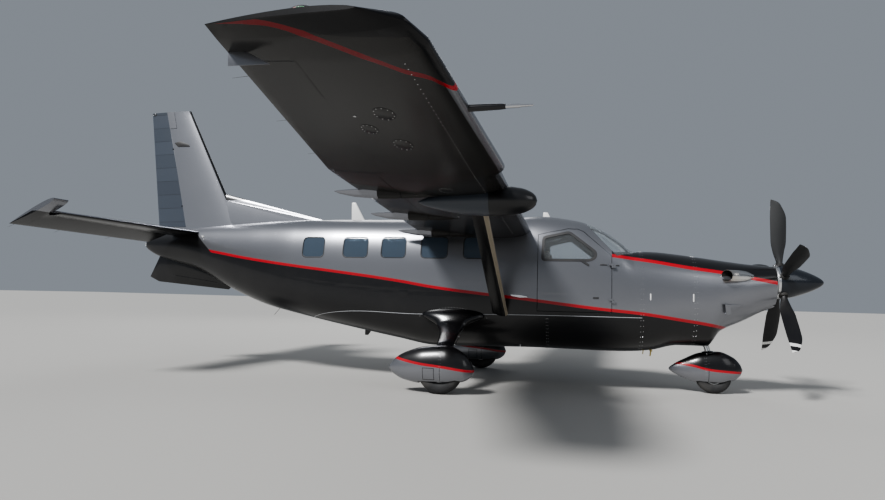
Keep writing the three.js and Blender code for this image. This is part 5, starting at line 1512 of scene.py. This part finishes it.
def build_tip_light(side, mirror):
    """A clear lens over a coloured lamp on the tip's upper edge."""
    point = at(4.857, mirror * 6.80, 2.862)
    lamp = "red_lamp" if mirror > 0 else "green_lamp"
    for name, size, finish in (("tip_light_", (0.075, 0.035, 0.030), "lamp_glass"),
                               ("tip_lamp_", (0.040, 0.018, 0.016), lamp)):
        bm = bmesh.new()
        add_ball(bm, point, size, (32, 18))
        finish_mesh(name + side, bm, finish)
    bm = bmesh.new()
    add_block(bm, point - Vector((0, 0, 0.016)), (0.17, 0.078, 0.012), 0.005)
    finish_mesh("tip_light_base_" + side, bm, "bare_steel")


def build_tail(context):
    fin = foil_skin(2, FIN, 0.0)
    # The fin's paint holds painted sunlight, the rudder's painted shade
    for node, slot in (("fin", "silver_paint"), ("rudder", "slate_paint")):
        dressed(node, node + "_paint", fin, steps=(0.05, 0.008, 0.2), chart=True)
    for mirror, side in SIDES:
        skin = foil_skin(1, TAIL, TAIL_HEIGHT, mirror=mirror)
        dressed("stabiliser_" + side, "tail_paint", skin, steps=(0.05, 0.3, 0.008))
    hinge = at(TAIL_HINGE, 0, TAIL_HEIGHT)
    level = Matrix.Translation(hinge) @ Matrix.Rotation(ELEVATOR_DROOP, 4, "Y") @ Matrix.Translation(-hinge)
    dressed("elevator", "tail_paint", foil_skin(1, TAIL, TAIL_HEIGHT, mirror=0),
            steps=(0.05, 0.3, 0.008), turn=level)
    bm = bmesh.new()
    add_plate(bm, [at(s, 0, z) for s, z in VENTRAL], VENTRAL_HALF, 0.009)
    piece = finish_mesh("ventral_plate", bm, "black_paint")
    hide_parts("ventral_fin")
    bm = bmesh.new()
    for side in (1, -1):
        add_plate(bm, [at(s, side * 0.016, z) for s, z in VENTRAL_RIB], 0.0015)
    finish_mesh("ventral_ribs", bm, "dark_plastic")
    build_tail_fittings()


def build_tail_fittings():
    """Wicks, the rudder's guides, the tail's lamps and markers, and the long dorsal fillet."""
    bm = bmesh.new()
    for side in (1, -1):
        for y in (1.2, 2.2, 2.95):
            drop = (WICK_FOOT - TAIL_HINGE) * math.tan(ELEVATOR_DROOP)
            foot = at(WICK_FOOT, side * y, TAIL_HEIGHT - drop)
            add_rod(bm, foot, foot - Vector((0.13, 0, 0.045)), 0.0022, 8, far=0.001)
    finish_mesh("elevator_wicks", bm, "dark_plastic", "elevator")
    bm = bmesh.new()
    for side in (1, -1):
        add_plate(bm, [at(s, side * 0.050, z) for s, z in RUDDER_GUIDE], 0.008, 0.003)
    finish_mesh("rudder_guides", bm, "dark_plastic")
    bm = bmesh.new()
    add_ball(bm, at(11.505, 0, 2.174), (0.050, 0.026, 0.034))
    add_ball(bm, at(11.515, 0, 4.706), (0.050, 0.020, 0.026))
    finish_mesh("tail_lights", bm, "lamp_glass")
    bm = bmesh.new()
    for side in (1, -1):
        point, _ = SKINS["body"].on_side(10.102, 2.297, side)
        add_ball(bm, point, 0.022, (20, 12))
    finish_mesh("tail_markers", bm, "white_enamel")

    def dorsal(t, turn):
        angle = 2 * math.pi * turn
        s = DORSAL_FRONT + (DORSAL_REAR - DORSAL_FRONT) * t
        top = 0.04 + (DORSAL_TOP - DORSAL_BASE - 0.04) * t
        rise = top * max(0.0, math.sin(angle)) ** 1.6 if math.sin(angle) > 0 else -0.03
        return x_of(s), (0.020 + 0.042 * t) * math.cos(angle), DORSAL_BASE + rise

    # The fillet takes the fin's paint and its painted sunlight
    finish_mesh("dorsal_skin", lofted(24, 32, dorsal), "fin_paint")


def build_propeller(context):
    """Smooth blades on a hub with a shaft, and the spinner."""
    rows = column(BLADE, "r")
    whole = bmesh.new()
    for index in range(BLADES):
        swing = Matrix.Rotation(BLADE_PHASE + index * 2 * math.pi / BLADES, 3, "X")
        centre = at(BLADE_STATION, 0, HUB_HEIGHT)

        def place(t, turn):
            r = rows[0] + (rows[-1] - rows[0]) * t
            fore, aft, thick, twist = (float(eased(rows, column(BLADE, key), r))
                                       for key in ("fore", "aft", "thick", "turn"))
            angle = 2 * math.pi * turn
            f = 0.5 * (1 + math.cos(angle))
            shank = min(1.0, max(0.0, (r - 0.13) / 0.20))
            shank = shank * shank * (3 - 2 * shank)
            side = math.copysign(1.0, math.sin(angle))
            flat = side * math.sin(math.pi * min(1.0, f * 1.02) ** 0.7) ** 0.8 * thick / 2
            wide = (fore + aft) / 2
            along = (f * 2 * wide - fore) * shank + (wide * math.cos(angle)) * (1 - shank)
            across = flat * shank + math.sin(angle) * wide * (1 - shank)
            tip = max(0.0, (r - 1.16) / 0.085)
            r -= BLADE_TIP_CUT * (1 - f) * tip * tip
            c, d = math.cos(twist), math.sin(twist)
            return centre + swing @ Vector((-(along * d + across * c), along * c - across * d, r))

        part = lofted(44, 40, place)
        for face in part.faces:
            face.material_index = int((swing.inverted() @ face.normal).y < 0)
        mesh = bpy.data.meshes.new("blade")
        part.to_mesh(mesh)
        part.free()
        whole.from_mesh(mesh)
        bpy.data.meshes.remove(mesh)
    piece = finish_mesh("blades", whole, "blade_paint", "propeller")
    piece.data.materials.append(MATERIALS["blade_back"])
    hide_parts("propeller")
    bm = spun([(0, 0), (0, 0.13), (0.02, 0.15), (0.16, 0.15), (0.17, 0.24), (0.197, 0.24), (0.197, 0.07),
               (0.375, 0.07), (0.375, 0.0)], at(0.47, 0, HUB_HEIGHT), (-1, 0, 0), 48)
    finish_mesh("propeller_hub", bm, "cast_alloy", "propeller")
    bm = bmesh.new()
    for index in range(BLADES):
        angle = BLADE_PHASE + index * 2 * math.pi / BLADES
        out = Vector((0, -math.sin(angle), math.cos(angle)))
        centre = at(BLADE_STATION, 0, HUB_HEIGHT)
        add_rod(bm, centre + out * 0.235, centre + out * 0.262, 0.060, 32)
        add_rod(bm, centre + out * 0.262, centre + out * 0.275, 0.054, 32)
    finish_mesh("blade_cuffs", bm, "seal_rubber", "propeller")
    s, r = (np.array(values) for values in zip(*SPINNER))
    stations = s[-1] * np.linspace(0, 1, 40) ** 2
    outer = [(float(a), float(b)) for a, b in zip(stations, eased(s, r, stations))]
    outer[0] = (0.0, 0.0)
    inner = [(a + 0.012, b - 0.008) for a, b in outer[:-2] if b > 0.010]
    profile = outer + [(outer[-1][0], outer[-1][1] - 0.008)] + inner[::-1] + [(inner[0][0], 0.0)]
    bm = spun(profile, at(0.0, 0, HUB_HEIGHT), (-1, 0, 0), 96)
    piece = finish_mesh("spinner_shell", bm, "spinner_paint", "propeller")
    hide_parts("spinner")
    places = []
    for k in range(20):
        angle = 2 * math.pi * (k + 0.5) / 20
        out = Vector((0, math.cos(angle), math.sin(angle)))
        places.append((at(0.645, 0, HUB_HEIGHT) + out * 0.2545, out))
    studs("spinner_screws", "propeller", places, 0.005, 0.001)


def tyre_profile(wheel):
    """A tyre's closed section: round shoulders and three grooves in its tread."""
    half = wheel.width / 2
    middle = wheel.rim + 0.5 * (wheel.radius - wheel.rim)

    def crown(a):
        return middle + (wheel.radius - middle) * (1 - abs(a / half) ** 2.6) ** (1 / 2.6)

    grooves = [-0.5 * half, 0.0, 0.5 * half]
    spread = half * np.sin(np.linspace(-1.53, 1.53, 45))
    spots = [a for a in spread if all(abs(a - g) > 0.005 for g in grooves)]
    outer = [(a, crown(a)) for a in spots]
    for g in grooves:
        outer += [(g - 0.0042, crown(g)), (g - 0.0032, crown(g) - 0.006), (g + 0.0032, crown(g) - 0.006),
                  (g + 0.0042, crown(g))]
    outer.sort()
    wall = [(half * (1 - 0.3 * (k / 6) ** 2), middle - (middle - wheel.rim) * k / 6) for k in range(7)]
    return [(-a, r) for a, r in wall[::-1]] + outer + wall


def build_wheels(context):
    """Tyres with grooved tread, and their hubs with bolts."""
    wheels = [
        ("main_", "_left", MAIN_WHEEL, 1), ("main_", "_right", MAIN_WHEEL, -1), ("nose_", "", NOSE_WHEEL, 1),
    ]
    for first, last, wheel, side in wheels:
        body = first + "wheel" + last
        centre = at(wheel.s, side * wheel.y, wheel.radius)
        bm = spun(tyre_profile(wheel), centre, (0, 1, 0), 120)
        piece = finish_mesh(first + "tread" + last, bm, "tyre_rubber", body, smooth=0.5)
        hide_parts(first + "tyre" + last)
        w, r, bore = 0.35 * wheel.width, wheel.rim - 0.0005, AXLE + 0.002
        wheel_half = [
            (w * 0.95, bore), (w, 0.32 * r), (0.55 * w, 0.42 * r), (0.42 * w, 0.74 * r), (0.7 * w, 0.88 * r),
            (w, 0.93 * r), (w, r),
        ]
        profile = [(-a, b) for a, b in wheel_half] + wheel_half[::-1]
        bm = spun(profile, centre, (0, 1, 0), 72)
        for k in range(8):
            angle = 2 * math.pi * k / 8
            out = Vector((math.cos(angle), 0, math.sin(angle))) * 0.58 * r
            bolt = Vector((0, 0.62 * w, 0))
            add_rod(bm, centre + out - bolt, centre + out + bolt, 0.008, 6)
        piece = finish_mesh(body, bm, "cast_alloy", body)
        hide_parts(first + "hub" + last)


PANT_COVER_CORNERS = [(5.494, 0.215), (5.494, 0.350), (5.330, 0.345), (5.330, 0.212)]
PANT_COVER_RISE = 0.0016


def build_pants(context):
    for node, y in (("main_pant_left", MAIN_WHEEL.y), ("main_pant_right", -MAIN_WHEEL.y), ("nose_pant", 0.0)):
        nose = node == "nose_pant"
        rows = NOSE_PANT if nose else MAIN_PANT
        stations = np.arange(rows[-1].s, rows[0].s - 0.004, -0.004)
        skin = hull_skin(rows, stations, y, PANT_SIDES, 512, pant_loop, pant_middle)
        finish = "nose_pant_paint" if nose else "main_pant_paint"
        dressed(node, finish, skin, steps=(0.03, 0.03, 0.03))
        body = "nose_gear" if nose else "airframe"
        seam = NOSE_PANT_SCREWS if nose else MAIN_PANT_SEAM
        screws = []
        for k in range(26):
            turn = math.radians(-62) + math.radians(304) * k / 25
            screws += [skin.on_round(seam + shift, turn) for shift in (-0.011, 0.011)]
        if not nose:
            cover = bmesh.new()
            for side in (1, -1):
                def place(s, height, lift):
                    return skin.on_side(s, height, side, lift)[0]

                add_cover(cover, place, rounded(PANT_COVER_CORNERS, 0.012, 0.03), PANT_COVER_RISE)
                screws += [skin.on_side(s, z, side, PANT_COVER_RISE)
                           for s in (5.345, 5.412, 5.479) for z in (0.228, 0.334)]
            finish_mesh(node + "_cover", cover, "main_pant_paint")
        studs(node + "_screws", body, screws, 0.0045, 0.001, sides=6)


BRAKE_LINE = [(5.120, 0.90, 0.86), (5.142, 1.10, 0.748), (5.142, 1.35, 0.645), (5.17, 1.44, 0.585)]
NOSE_RAKE = 0.235


def build_legs(context):
    """Main legs with their fairings and brake lines, and the nose leg."""
    steps = np.linspace(0, len(MAIN_LEG) - 1, 61)
    order = range(len(MAIN_LEG))
    sizes = {key: eased(order, column(MAIN_LEG, key), steps) for key in Leg._fields}
    run = np.stack([np.gradient(sizes["y"]), np.gradient(sizes["z"])], 1)
    run /= np.linalg.norm(run, axis=1)[:, None]
    for side, name in SIDES:
        def place(t, turn):
            k = int(round(t * (len(steps) - 1)))
            angle = 2 * math.pi * turn
            front, rear, half = (sizes[key][k] for key in ("front", "rear", "half"))
            s = (front + rear) / 2 + (rear - front) / 2 * math.cos(angle)
            across = half * math.copysign(abs(math.sin(angle)) ** 0.9, math.sin(angle))
            y, z = sizes["y"][k] - run[k, 1] * across, sizes["z"][k] + run[k, 0] * across
            return x_of(s), side * y, z

        bm = lofted(len(steps), 48, place)
        inner, outer = (at(MAIN_WHEEL.s, side * y, MAIN_WHEEL.radius) for y in (1.478, 1.693))
        add_rod(bm, inner, outer, AXLE, 32)
        piece = finish_mesh("main_leg_fairing_" + name, bm, "black_paint")
        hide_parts("main_leg_" + name)
        bm = bmesh.new()
        points = [at(s, side * y, z) for s, y, z in BRAKE_LINE]
        add_pipe(bm, points, 0.006)
        for point in points[1:3]:
            add_block(bm, point, (0.02, 0.016, 0.018), 0.002)
        finish_mesh("brake_line_" + name, bm, "bare_steel")
    places = [SKINS["body"].on_side(s, z, side, 0.001) for side in (1, -1)
              for s, z in zip(np.linspace(4.80, 5.85, 24), 1.165 - 0.145 * np.linspace(-1, 1, 24) ** 2)]
    studs("leg_screws", "airframe", places, 0.006, 0.0012)
    build_nose_leg()


def build_nose_leg():
    """The oleo, the fork, the axle and the rod beside the oleo."""
    s, hub = NOSE_WHEEL.s, NOSE_WHEEL.radius

    def steer(z, y=0.0, ahead=0.0):
        """A point on the steering line at a height, moved across and ahead."""
        return Vector((x_of(s + NOSE_RAKE * (z - 0.25)) + ahead, y, z))

    bm = bmesh.new()
    add_rod(bm, steer(0.520), steer(0.720), 0.027, 40)
    finish_mesh("nose_oleo", bm, "polished_steel", "nose_gear")
    bm = bmesh.new()
    add_rod(bm, steer(0.690), steer(0.930), 0.030, 40)
    add_rod(bm, steer(0.684), steer(0.700), 0.034, 40)
    for side in (1, -1):
        add_pipe(bm, [steer(0.515, side * 0.02), steer(0.515, side * 0.070), steer(0.430, side * 0.111),
                      at(s, side * 0.101, hub)], 0.013, 20)
        add_rod(bm, at(s, side * 0.090, hub), at(s, side * 0.124, hub), 0.022, 24)
    add_block(bm, steer(0.522), (0.07, 0.16, 0.024), 0.006)
    add_rod(bm, at(s, -0.112, hub), at(s, 0.112, hub), AXLE, 32)
    add_rod(bm, steer(0.52, 0.0, 0.045), steer(0.74, 0.0, 0.045), 0.010, 16)
    piece = finish_mesh("nose_fork", bm, "cast_alloy", "nose_gear")
    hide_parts("nose_leg")
    build_pant_collar()


def build_pant_collar():
    """A raised collar round the oleo on top of the nose pant."""
    foot = at(1.575, 0, 0.585)
    bm = spun([(0.0, 0.030), (0.0, 0.105), (0.012, 0.100), (0.028, 0.078), (0.036, 0.045), (0.036, 0.031)],
              foot, (-0.12, 0, 1), 48)
    finish_mesh("nose_pant_collar", bm, "black_paint", "nose_gear")


def build_struts(context):
    """Wing struts with cuffs at both ends, the radar pod and the pitot boom."""
    foot, head = Vector(STRUT_FOOT[1:3]), Vector(STRUT_HEAD[1:3])
    line = (head - foot).normalized()
    for side, name in SIDES:
        def place(u, turn):
            middle = foot.lerp(head, u)
            s = STRUT_FOOT[0] * (1 - u) + STRUT_HEAD[0] * u
            chord = STRUT_FOOT[3] * (1 - u) + STRUT_HEAD[3] * u
            flare = 1 + 0.35 * max(0.0, 1 - u / 0.07) ** 2 + 0.5 * max(0.0, (u - 0.94) / 0.06) ** 2
            loop = foil_loop(np.array([turn]), s - chord / 2, s + chord / 2, STRUT_THICK / chord)[0]
            lift = loop[1] * flare
            spread = (loop[0] - s) * (1 + 0.25 * (flare - 1))
            return x_of(s + spread), side * (middle.x - line.y * lift), middle.y + line.x * lift

        bm = lofted(60, 48, place)
        piece = finish_mesh("strut_" + name, bm, "strut_paint")
        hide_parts("wing_strut_" + name)
    s, r = (np.array(values) for values in zip(*POD))
    stations = s[0] + (s[-1] - s[0]) * (0.5 - 0.5 * np.cos(np.linspace(0, math.pi, 60)))
    profile = [(float(a - s[0]), float(b)) for a, b in zip(stations, eased(s, r, stations))]
    profile[0], profile[-1] = (0.0, 0.0), (float(s[-1] - s[0]), 0.0)
    bm = spun(profile, at(s[0], POD_Y, POD_Z), (-1, 0, 0), 72)
    piece = finish_mesh("radar_pod_shell", bm, "pod_paint")
    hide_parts("radar_pod")
    length = BOOM_REAR - BOOM_FRONT
    profile = [
        (0.03, 0.0), (0.03, 0.004), (0.0, 0.006), (0.004, 0.008), (0.09, 0.0105), (0.10, 0.0145),
        (length, 0.017), (length, 0.0),
    ]
    bm = spun(profile, at(BOOM_FRONT, BOOM_Y, BOOM_Z), (-1, 0, 0), 32)
    piece = finish_mesh("pitot_tube", bm, "bare_steel")
    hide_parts("pitot_boom")
    bm = spun([(0.0, 0.0), (0.0, 0.019), (0.05, 0.023), (0.30, 0.028), (0.30, 0.0)],
              at(BOOM_FRONT + 0.20, BOOM_Y, BOOM_Z), (-1, 0, 0), 32)
    finish_mesh("pitot_sleeve", bm, "black_paint")


# Roof antennas: front and rear of the foot, front and rear of the top, two heights, half thickness
ANTENNAS = [
    (7.080, 7.340, 7.275, 7.350, 2.590, 2.930, 0.016),
    (3.900, 4.030, 3.955, 4.025, 2.625, 2.728, 0.010),
    (6.10, 6.26, 6.19, 6.26, 2.585, 2.70, 0.009),
]
BELLY_FIN = [(6.85, 0.80), (7.02, 0.80), (7.02, 0.64), (6.96, 0.64)]

# Small covers on both sides: name, door it rides on, slot and finish, then outlines with corner and rise
SIDE_COVERS = [
    ("crew_latch_", "crew_door_", "panel_plastic", "dark_plastic", [
        ([(3.305, 1.822), (3.295, 1.850), (3.400, 1.925), (3.440, 1.922), (3.425, 1.898)], 0.012, 0.012),
        ([(3.160, 1.352), (3.160, 1.378), (3.245, 1.378), (3.245, 1.352)], 0.010, 0.009),
    ]),
    ("door_stay_", "crew_door_", "panel_plastic", "dark_plastic", [
        ([(3.045, 1.842), (3.045, 1.854), (3.100, 1.862), (3.145, 1.856), (3.145, 1.842)], 0.004, 0.010),
    ]),
    ("air_vent_", None, "polished_steel", "polished_steel", [
        ([(4.455, 1.388), (4.300, 1.384), (4.190, 1.362), (4.182, 1.345), (4.300, 1.340), (4.430, 1.362)],
         0.016, 0.014),
    ]),
    ("service_cover_", None, "silver_paint", "body_paint", [
        ([(6.05, 1.30), (6.05, 1.42), (6.20, 1.42), (6.20, 1.30)], 0.02, 0.0015),
    ]),
]

# Frames of the body that show as rows of rivets, as distances aft
RIVETED_FRAMES = (4.25, 5.31, 6.0, 6.62, 8.05, 8.11, 8.80, 9.45)
CARGO_DOOR = (6.64, 8.0)


def build_small_parts(context):
    """Antennas, door latches and handles, vents, service covers, tie pins and frame rivets."""
    bm = bmesh.new()
    for front, rear, top_front, top_rear, base, top, half in ANTENNAS:
        corners = ((front, base), (rear, base), (top_rear, top), (top_front, top))
        add_plate(bm, [at(s, 0, z) for s, z in corners], half, half * 0.8)
        foot = (rear - front + 0.05, half * 2 + 0.04, 0.014)
        add_block(bm, at((front + rear) / 2, 0, base + 0.008), foot, 0.005)
    finish_mesh("roof_antennas", bm, "white_enamel")
    bm = bmesh.new()
    add_plate(bm, [at(s, 0, z) for s, z in BELLY_FIN], 0.008, 0.006)
    add_rod(bm, at(8.6, 0, 1.10), at(8.75, 0, 0.93), 0.004, 10)
    finish_mesh("belly_antennas", bm, "black_paint")
    for side, name in SIDES:
        place = body_place(side)
        for piece, door, slot, finish, covers in SIDE_COVERS:
            bm = bmesh.new()
            for outline, corner, rise in covers:
                add_cover(bm, place, rounded(outline, corner), rise)
            if piece == "door_stay_":
                add_block(bm, place(2.90, 1.845, 0.006), (0.05, 0.012, 0.014), 0.004)
            finish_mesh(piece + name, bm, finish, door + name if door else "airframe")
    bm = bmesh.new()
    for side in (1, -1):
        for s in (4.32, 9.4):
            foot = SKINS["body"].on_round(s, -math.pi / 2 + 0.5 * side)[0]
            add_rod(bm, foot + Vector((0, 0, 0.01)), foot - Vector((0, 0, 0.03)), 0.006, 12)
    finish_mesh("tie_pins", bm, "bare_steel")
    places = []
    for s in RIVETED_FRAMES:
        for side in (1, -1):
            low = float(np.interp(s, *zip(*LOW_LINE))) + 0.05
            for z in np.arange(low, 2.45 if s < 9 else 2.40, 0.055):
                glazed = any(a - 0.02 < s < b + 0.02 for a, b in WINDOWS) and 1.90 < z < 2.28
                on_door = side > 0 and CARGO_DOOR[0] < s < CARGO_DOOR[1]
                if not glazed and not on_door:
                    places.append(SKINS["body"].on_side(s, z, side))
    studs("frame_rivets", "airframe", places, 0.0035, 0.0007, "silver_paint", 6)


def cushion(bm, centre, size, tilt=0.0, seams=2):
    """A stuffed pad: crowned, with sides that pull in and sewn channels across it."""
    made = bmesh.ops.create_cube(bm, size=2)
    edges = list({edge for vert in made["verts"] for edge in vert.link_edges})
    bmesh.ops.subdivide_edges(bm, edges=edges, cuts=15, use_grid_fill=True)
    fresh = [vert for vert in bm.verts if not vert.tag]
    turn = Matrix.Rotation(tilt, 3, "Y")
    half = Vector(size) / 2
    for vert in fresh:
        x, y, z = vert.co
        crown = (1 - x**4) * (1 - y**4)
        groove = sum(math.exp(-((y - place) / 0.05) ** 2) for place in np.linspace(-0.45, 0.45, seams))
        dip = 0.10 * groove * (1 - abs(x) ** 8) if abs(z) > 0.7 else 0.0
        height = z * (0.62 + 0.38 * crown) - math.copysign(dip, z)
        pull = 1 - 0.05 * abs(z) ** 3
        round_x = x * math.sqrt(max(0.0, 1 - 0.12 * y * y)) * pull
        round_y = y * math.sqrt(max(0.0, 1 - 0.12 * x * x)) * pull
        vert.co = Vector(centre) + turn @ Vector((round_x * half.x, round_y * half.y, height * half.z))
        vert.tag = True


# Seat pads: shift aft and up from the seat's middle on the floor, size, and lean
SEAT_PADS = [
    ((-0.01, 0.262), (0.47, 0.45, 0.14), 0.0),
    ((0.235, 0.555), (0.115, 0.44, 0.50), -0.19),
    ((0.285, SEAT_BACK + 0.060 - FLOOR_TOP), (0.09, 0.24, 0.17), -0.10),
]
SEAT_LEGS = ((-0.14, -0.12), (0.16, 0.14))


def build_seats(context):
    """Padded seats on frames: two for the crew and six in the cabin."""
    groups = [("crew_seat_left", [(CREW_SEAT, SEAT_Y)]), ("crew_seat_right", [(CREW_SEAT, -SEAT_Y)]),
              ("cabin_seats", [(s, side * SEAT_Y) for s in CABIN_SEATS for side in (1, -1)])]
    for node, seats in groups:
        pads, frames, belts = bmesh.new(), bmesh.new(), bmesh.new()
        for s, y in seats:
            for (aft, up), size, lean in SEAT_PADS:
                cushion(pads, at(s + aft, y, FLOOR_TOP + up), size, lean)
            add_block(frames, at(s, y, FLOOR_TOP + 0.185), (0.40, 0.40, 0.024), 0.008)
            for side in (1, -1):
                foot = y + side * 0.17
                for low, high in SEAT_LEGS:
                    start, end = at(s + low, foot, FLOOR_TOP + 0.015), at(s + high, foot, FLOOR_TOP + 0.18)
                    add_rod(frames, start, end, 0.014)
                add_block(frames, at(s, foot, FLOOR_TOP + 0.010), (0.44, 0.03, 0.018), 0.003)
                post = y + side * 0.05
                add_rod(frames, at(s + 0.29, post, SEAT_BACK - 0.14), at(s + 0.29, post, SEAT_BACK), 0.007)
                add_block(belts, at(s + 0.12, y + side * 0.215, FLOOR_TOP + 0.30), (0.10, 0.012, 0.05), 0.003)
            add_block(belts, at(s - 0.03, y, FLOOR_TOP + 0.338), (0.05, 0.09, 0.012), 0.003)
        piece = finish_mesh(node + "_pads", pads, "leather", smooth=1.2)
        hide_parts(node)
        finish_mesh(node + "_frame", frames, "dark_plastic")
        finish_mesh(node + "_belts", belts, "carpet")


PANEL_TOP, PANEL_SLOPE, PANEL_LEAN = (2.960, 2.000), 0.136, 0.135


def build_cockpit(context):
    """Screens, knobs, throttle and control wheels at the instrument panel."""
    lean = Matrix.Rotation(PANEL_LEAN, 4, "Y")

    def back(z):
        """Distance aft of the panel's face at a height."""
        return PANEL_TOP[0] - (PANEL_TOP[1] - z) * PANEL_SLOPE

    bezels, screens, knobs = bmesh.new(), bmesh.new(), bmesh.new()
    for y, wide in ((0.36, 0.27), (0.0, 0.30), (-0.36, 0.27)):
        add_block(bezels, at(back(1.84) + 0.006, y, 1.84), (0.02, wide, 0.21), 0.006, lean)
        add_block(screens, at(back(1.84) + 0.016, y, 1.845), (0.004, wide - 0.05, 0.16), 0.0015, lean)
        for k in range(6):
            spot = at(back(1.755) + 0.014, y - wide * 0.4 + wide * 0.16 * k, 1.752)
            add_rod(knobs, spot, spot - Vector((0.016, 0, 0)), 0.007, 12)
    for y in np.arange(-0.5, 0.51, 0.05):
        spot = at(back(1.66), y, 1.66)
        add_rod(knobs, spot, spot - Vector((0.018, 0, 0)), 0.005, 8)
    for y in (SEAT_Y, -SEAT_Y):
        add_rod(knobs, at(2.90, y, 1.70), at(3.10, y, 1.71), 0.014, 16)
        wheel = [at(3.11, y + 0.13 * math.cos(a), 1.72 + 0.10 * math.sin(a))
                 for a in np.linspace(math.radians(150), math.radians(390), 13)]
        add_pipe(knobs, wheel, 0.012)
        add_block(knobs, at(3.105, y, 1.71), (0.03, 0.09, 0.05), 0.008)
        for side in (1, -1):
            add_rod(knobs, at(3.108, y, 1.70), at(3.11, y + side * 0.12, 1.75), 0.009, 12)
    for k, y in enumerate((-0.05, 0.0, 0.05)):
        add_rod(knobs, at(2.93, y, 1.56), at(3.02, y, 1.62), 0.005, 10)
        add_ball(knobs, at(3.025, y, 1.625), 0.017, (16, 10))
    finish_mesh("panel_bezels", bezels, "dark_plastic")
    finish_mesh("panel_screens", screens, "screen_glass")
    finish_mesh("panel_controls", knobs, "dark_plastic")
    shade = bmesh.new()
    add_block(shade, at(2.85, 0, 2.052), (0.22, 0.74, 0.022), 0.008)
    finish_mesh("glare_shield", shade, "dark_plastic")


def shade(name, description, *default):
    return bpy.props.FloatVectorProperty(
        name=name, description=description, subtype="COLOR", size=3, default=default)


class PlanePaint(bpy.types.PropertyGroup):
    silver: shade("Silver", "Metallic grey of the upper body", 0.25, 0.255, 0.275)
    black: shade("Black", "Gloss black of the lower body and wing tips", 0.004, 0.004, 0.005)
    # Painted shade: this dark grey stands for the shade on the wings' silver underside
    under: shade("Underside", "Dark grey of the wings from below", 0.016, 0.015, 0.014)
    # On the rudder this dark grey is painted shade for its unlit side
    slate: shade("Slate", "Dark grey of the spinner and rudder", 0.045, 0.055, 0.072)
    red: shade("Red", "Red of the stripes", 0.37, 0.005, 0.012)
    stripe_width: bpy.props.FloatProperty(
        name="Stripe width", description="Width of the red stripe along the body", unit="LENGTH",
        default=0.045)


def operator(name, label, text, build):
    """An operator class that runs one builder."""

    def execute(self, context):
        build(context)
        return {"FINISHED"}

    kind = "PLANE_OT_" + name
    values = {"bl_idname": "plane." + name, "bl_label": label, "__doc__": text, "execute": execute}
    return type(kind, (bpy.types.Operator,), values)


OPERATORS = [operator(*row) for row in (
    ("stage", "Stage", "Camera, floor and studio light", build_stage),
    ("materials", "Finishes", "Paint, metal, glass, rubber and trim", build_materials),
    ("nodes", "Solids", "Finishes of the packed solids", build_nodes),
    ("body", "Body", "Smooth body panels, doors and glass", build_body),
    ("frames", "Window frames", "Seals and frames round the windows", build_frames),
    ("cowl", "Cowl", "Exhaust stacks, scoops, latches and screws", build_cowl),
    ("wings", "Wings", "Smooth wings, flaps and ailerons", build_wings),
    ("wing_fittings", "Wing fittings", "Covers, caps, lights and wicks", build_wing_fittings),
    ("tail", "Tail", "Smooth fin, rudder and tailplane", build_tail),
    ("propeller", "Propeller", "Blades, hub and spinner", build_propeller),
    ("wheels", "Wheels", "Tyres and hubs", build_wheels),
    ("pants", "Wheel pants", "Smooth wheel pants", build_pants),
    ("legs", "Landing gear", "Legs, oleo, fork and brake lines", build_legs),
    ("struts", "Struts", "Wing struts, radar pod and pitot boom", build_struts),
    ("small_parts", "Small parts", "Antennas, latches, vents and rivets", build_small_parts),
    ("seats", "Seats", "Padded seats on their frames", build_seats),
    ("cockpit", "Cockpit", "Screens, controls and glare shield", build_cockpit),
)]


class PLANE_PT_panel(bpy.types.Panel):
    """Lists the steps that build the plane."""

    bl_idname = "PLANE_PT_panel"
    bl_label = "Turboprop plane"
    bl_space_type = "VIEW_3D"
    bl_region_type = "UI"
    bl_category = "Plane"

    def draw(self, context):
        for kind in OPERATORS:
            self.layout.operator(kind.bl_idname)
        for key in PlanePaint.__annotations__:
            self.layout.prop(context.scene.plane_paint, key)


CLASSES = [PlanePaint, *OPERATORS, PLANE_PT_panel]


def register():
    for kind in CLASSES:
        bpy.utils.register_class(kind)
    bpy.types.Scene.plane_paint = bpy.props.PointerProperty(type=PlanePaint)


def unregister():
    del bpy.types.Scene.plane_paint
    for kind in reversed(CLASSES):
        bpy.utils.unregister_class(kind)


def main():
    register()
    for kind in OPERATORS:
        group, step = kind.bl_idname.split(".")
        getattr(getattr(bpy.ops, group), step)()


if __name__ == "__main__":
    main()
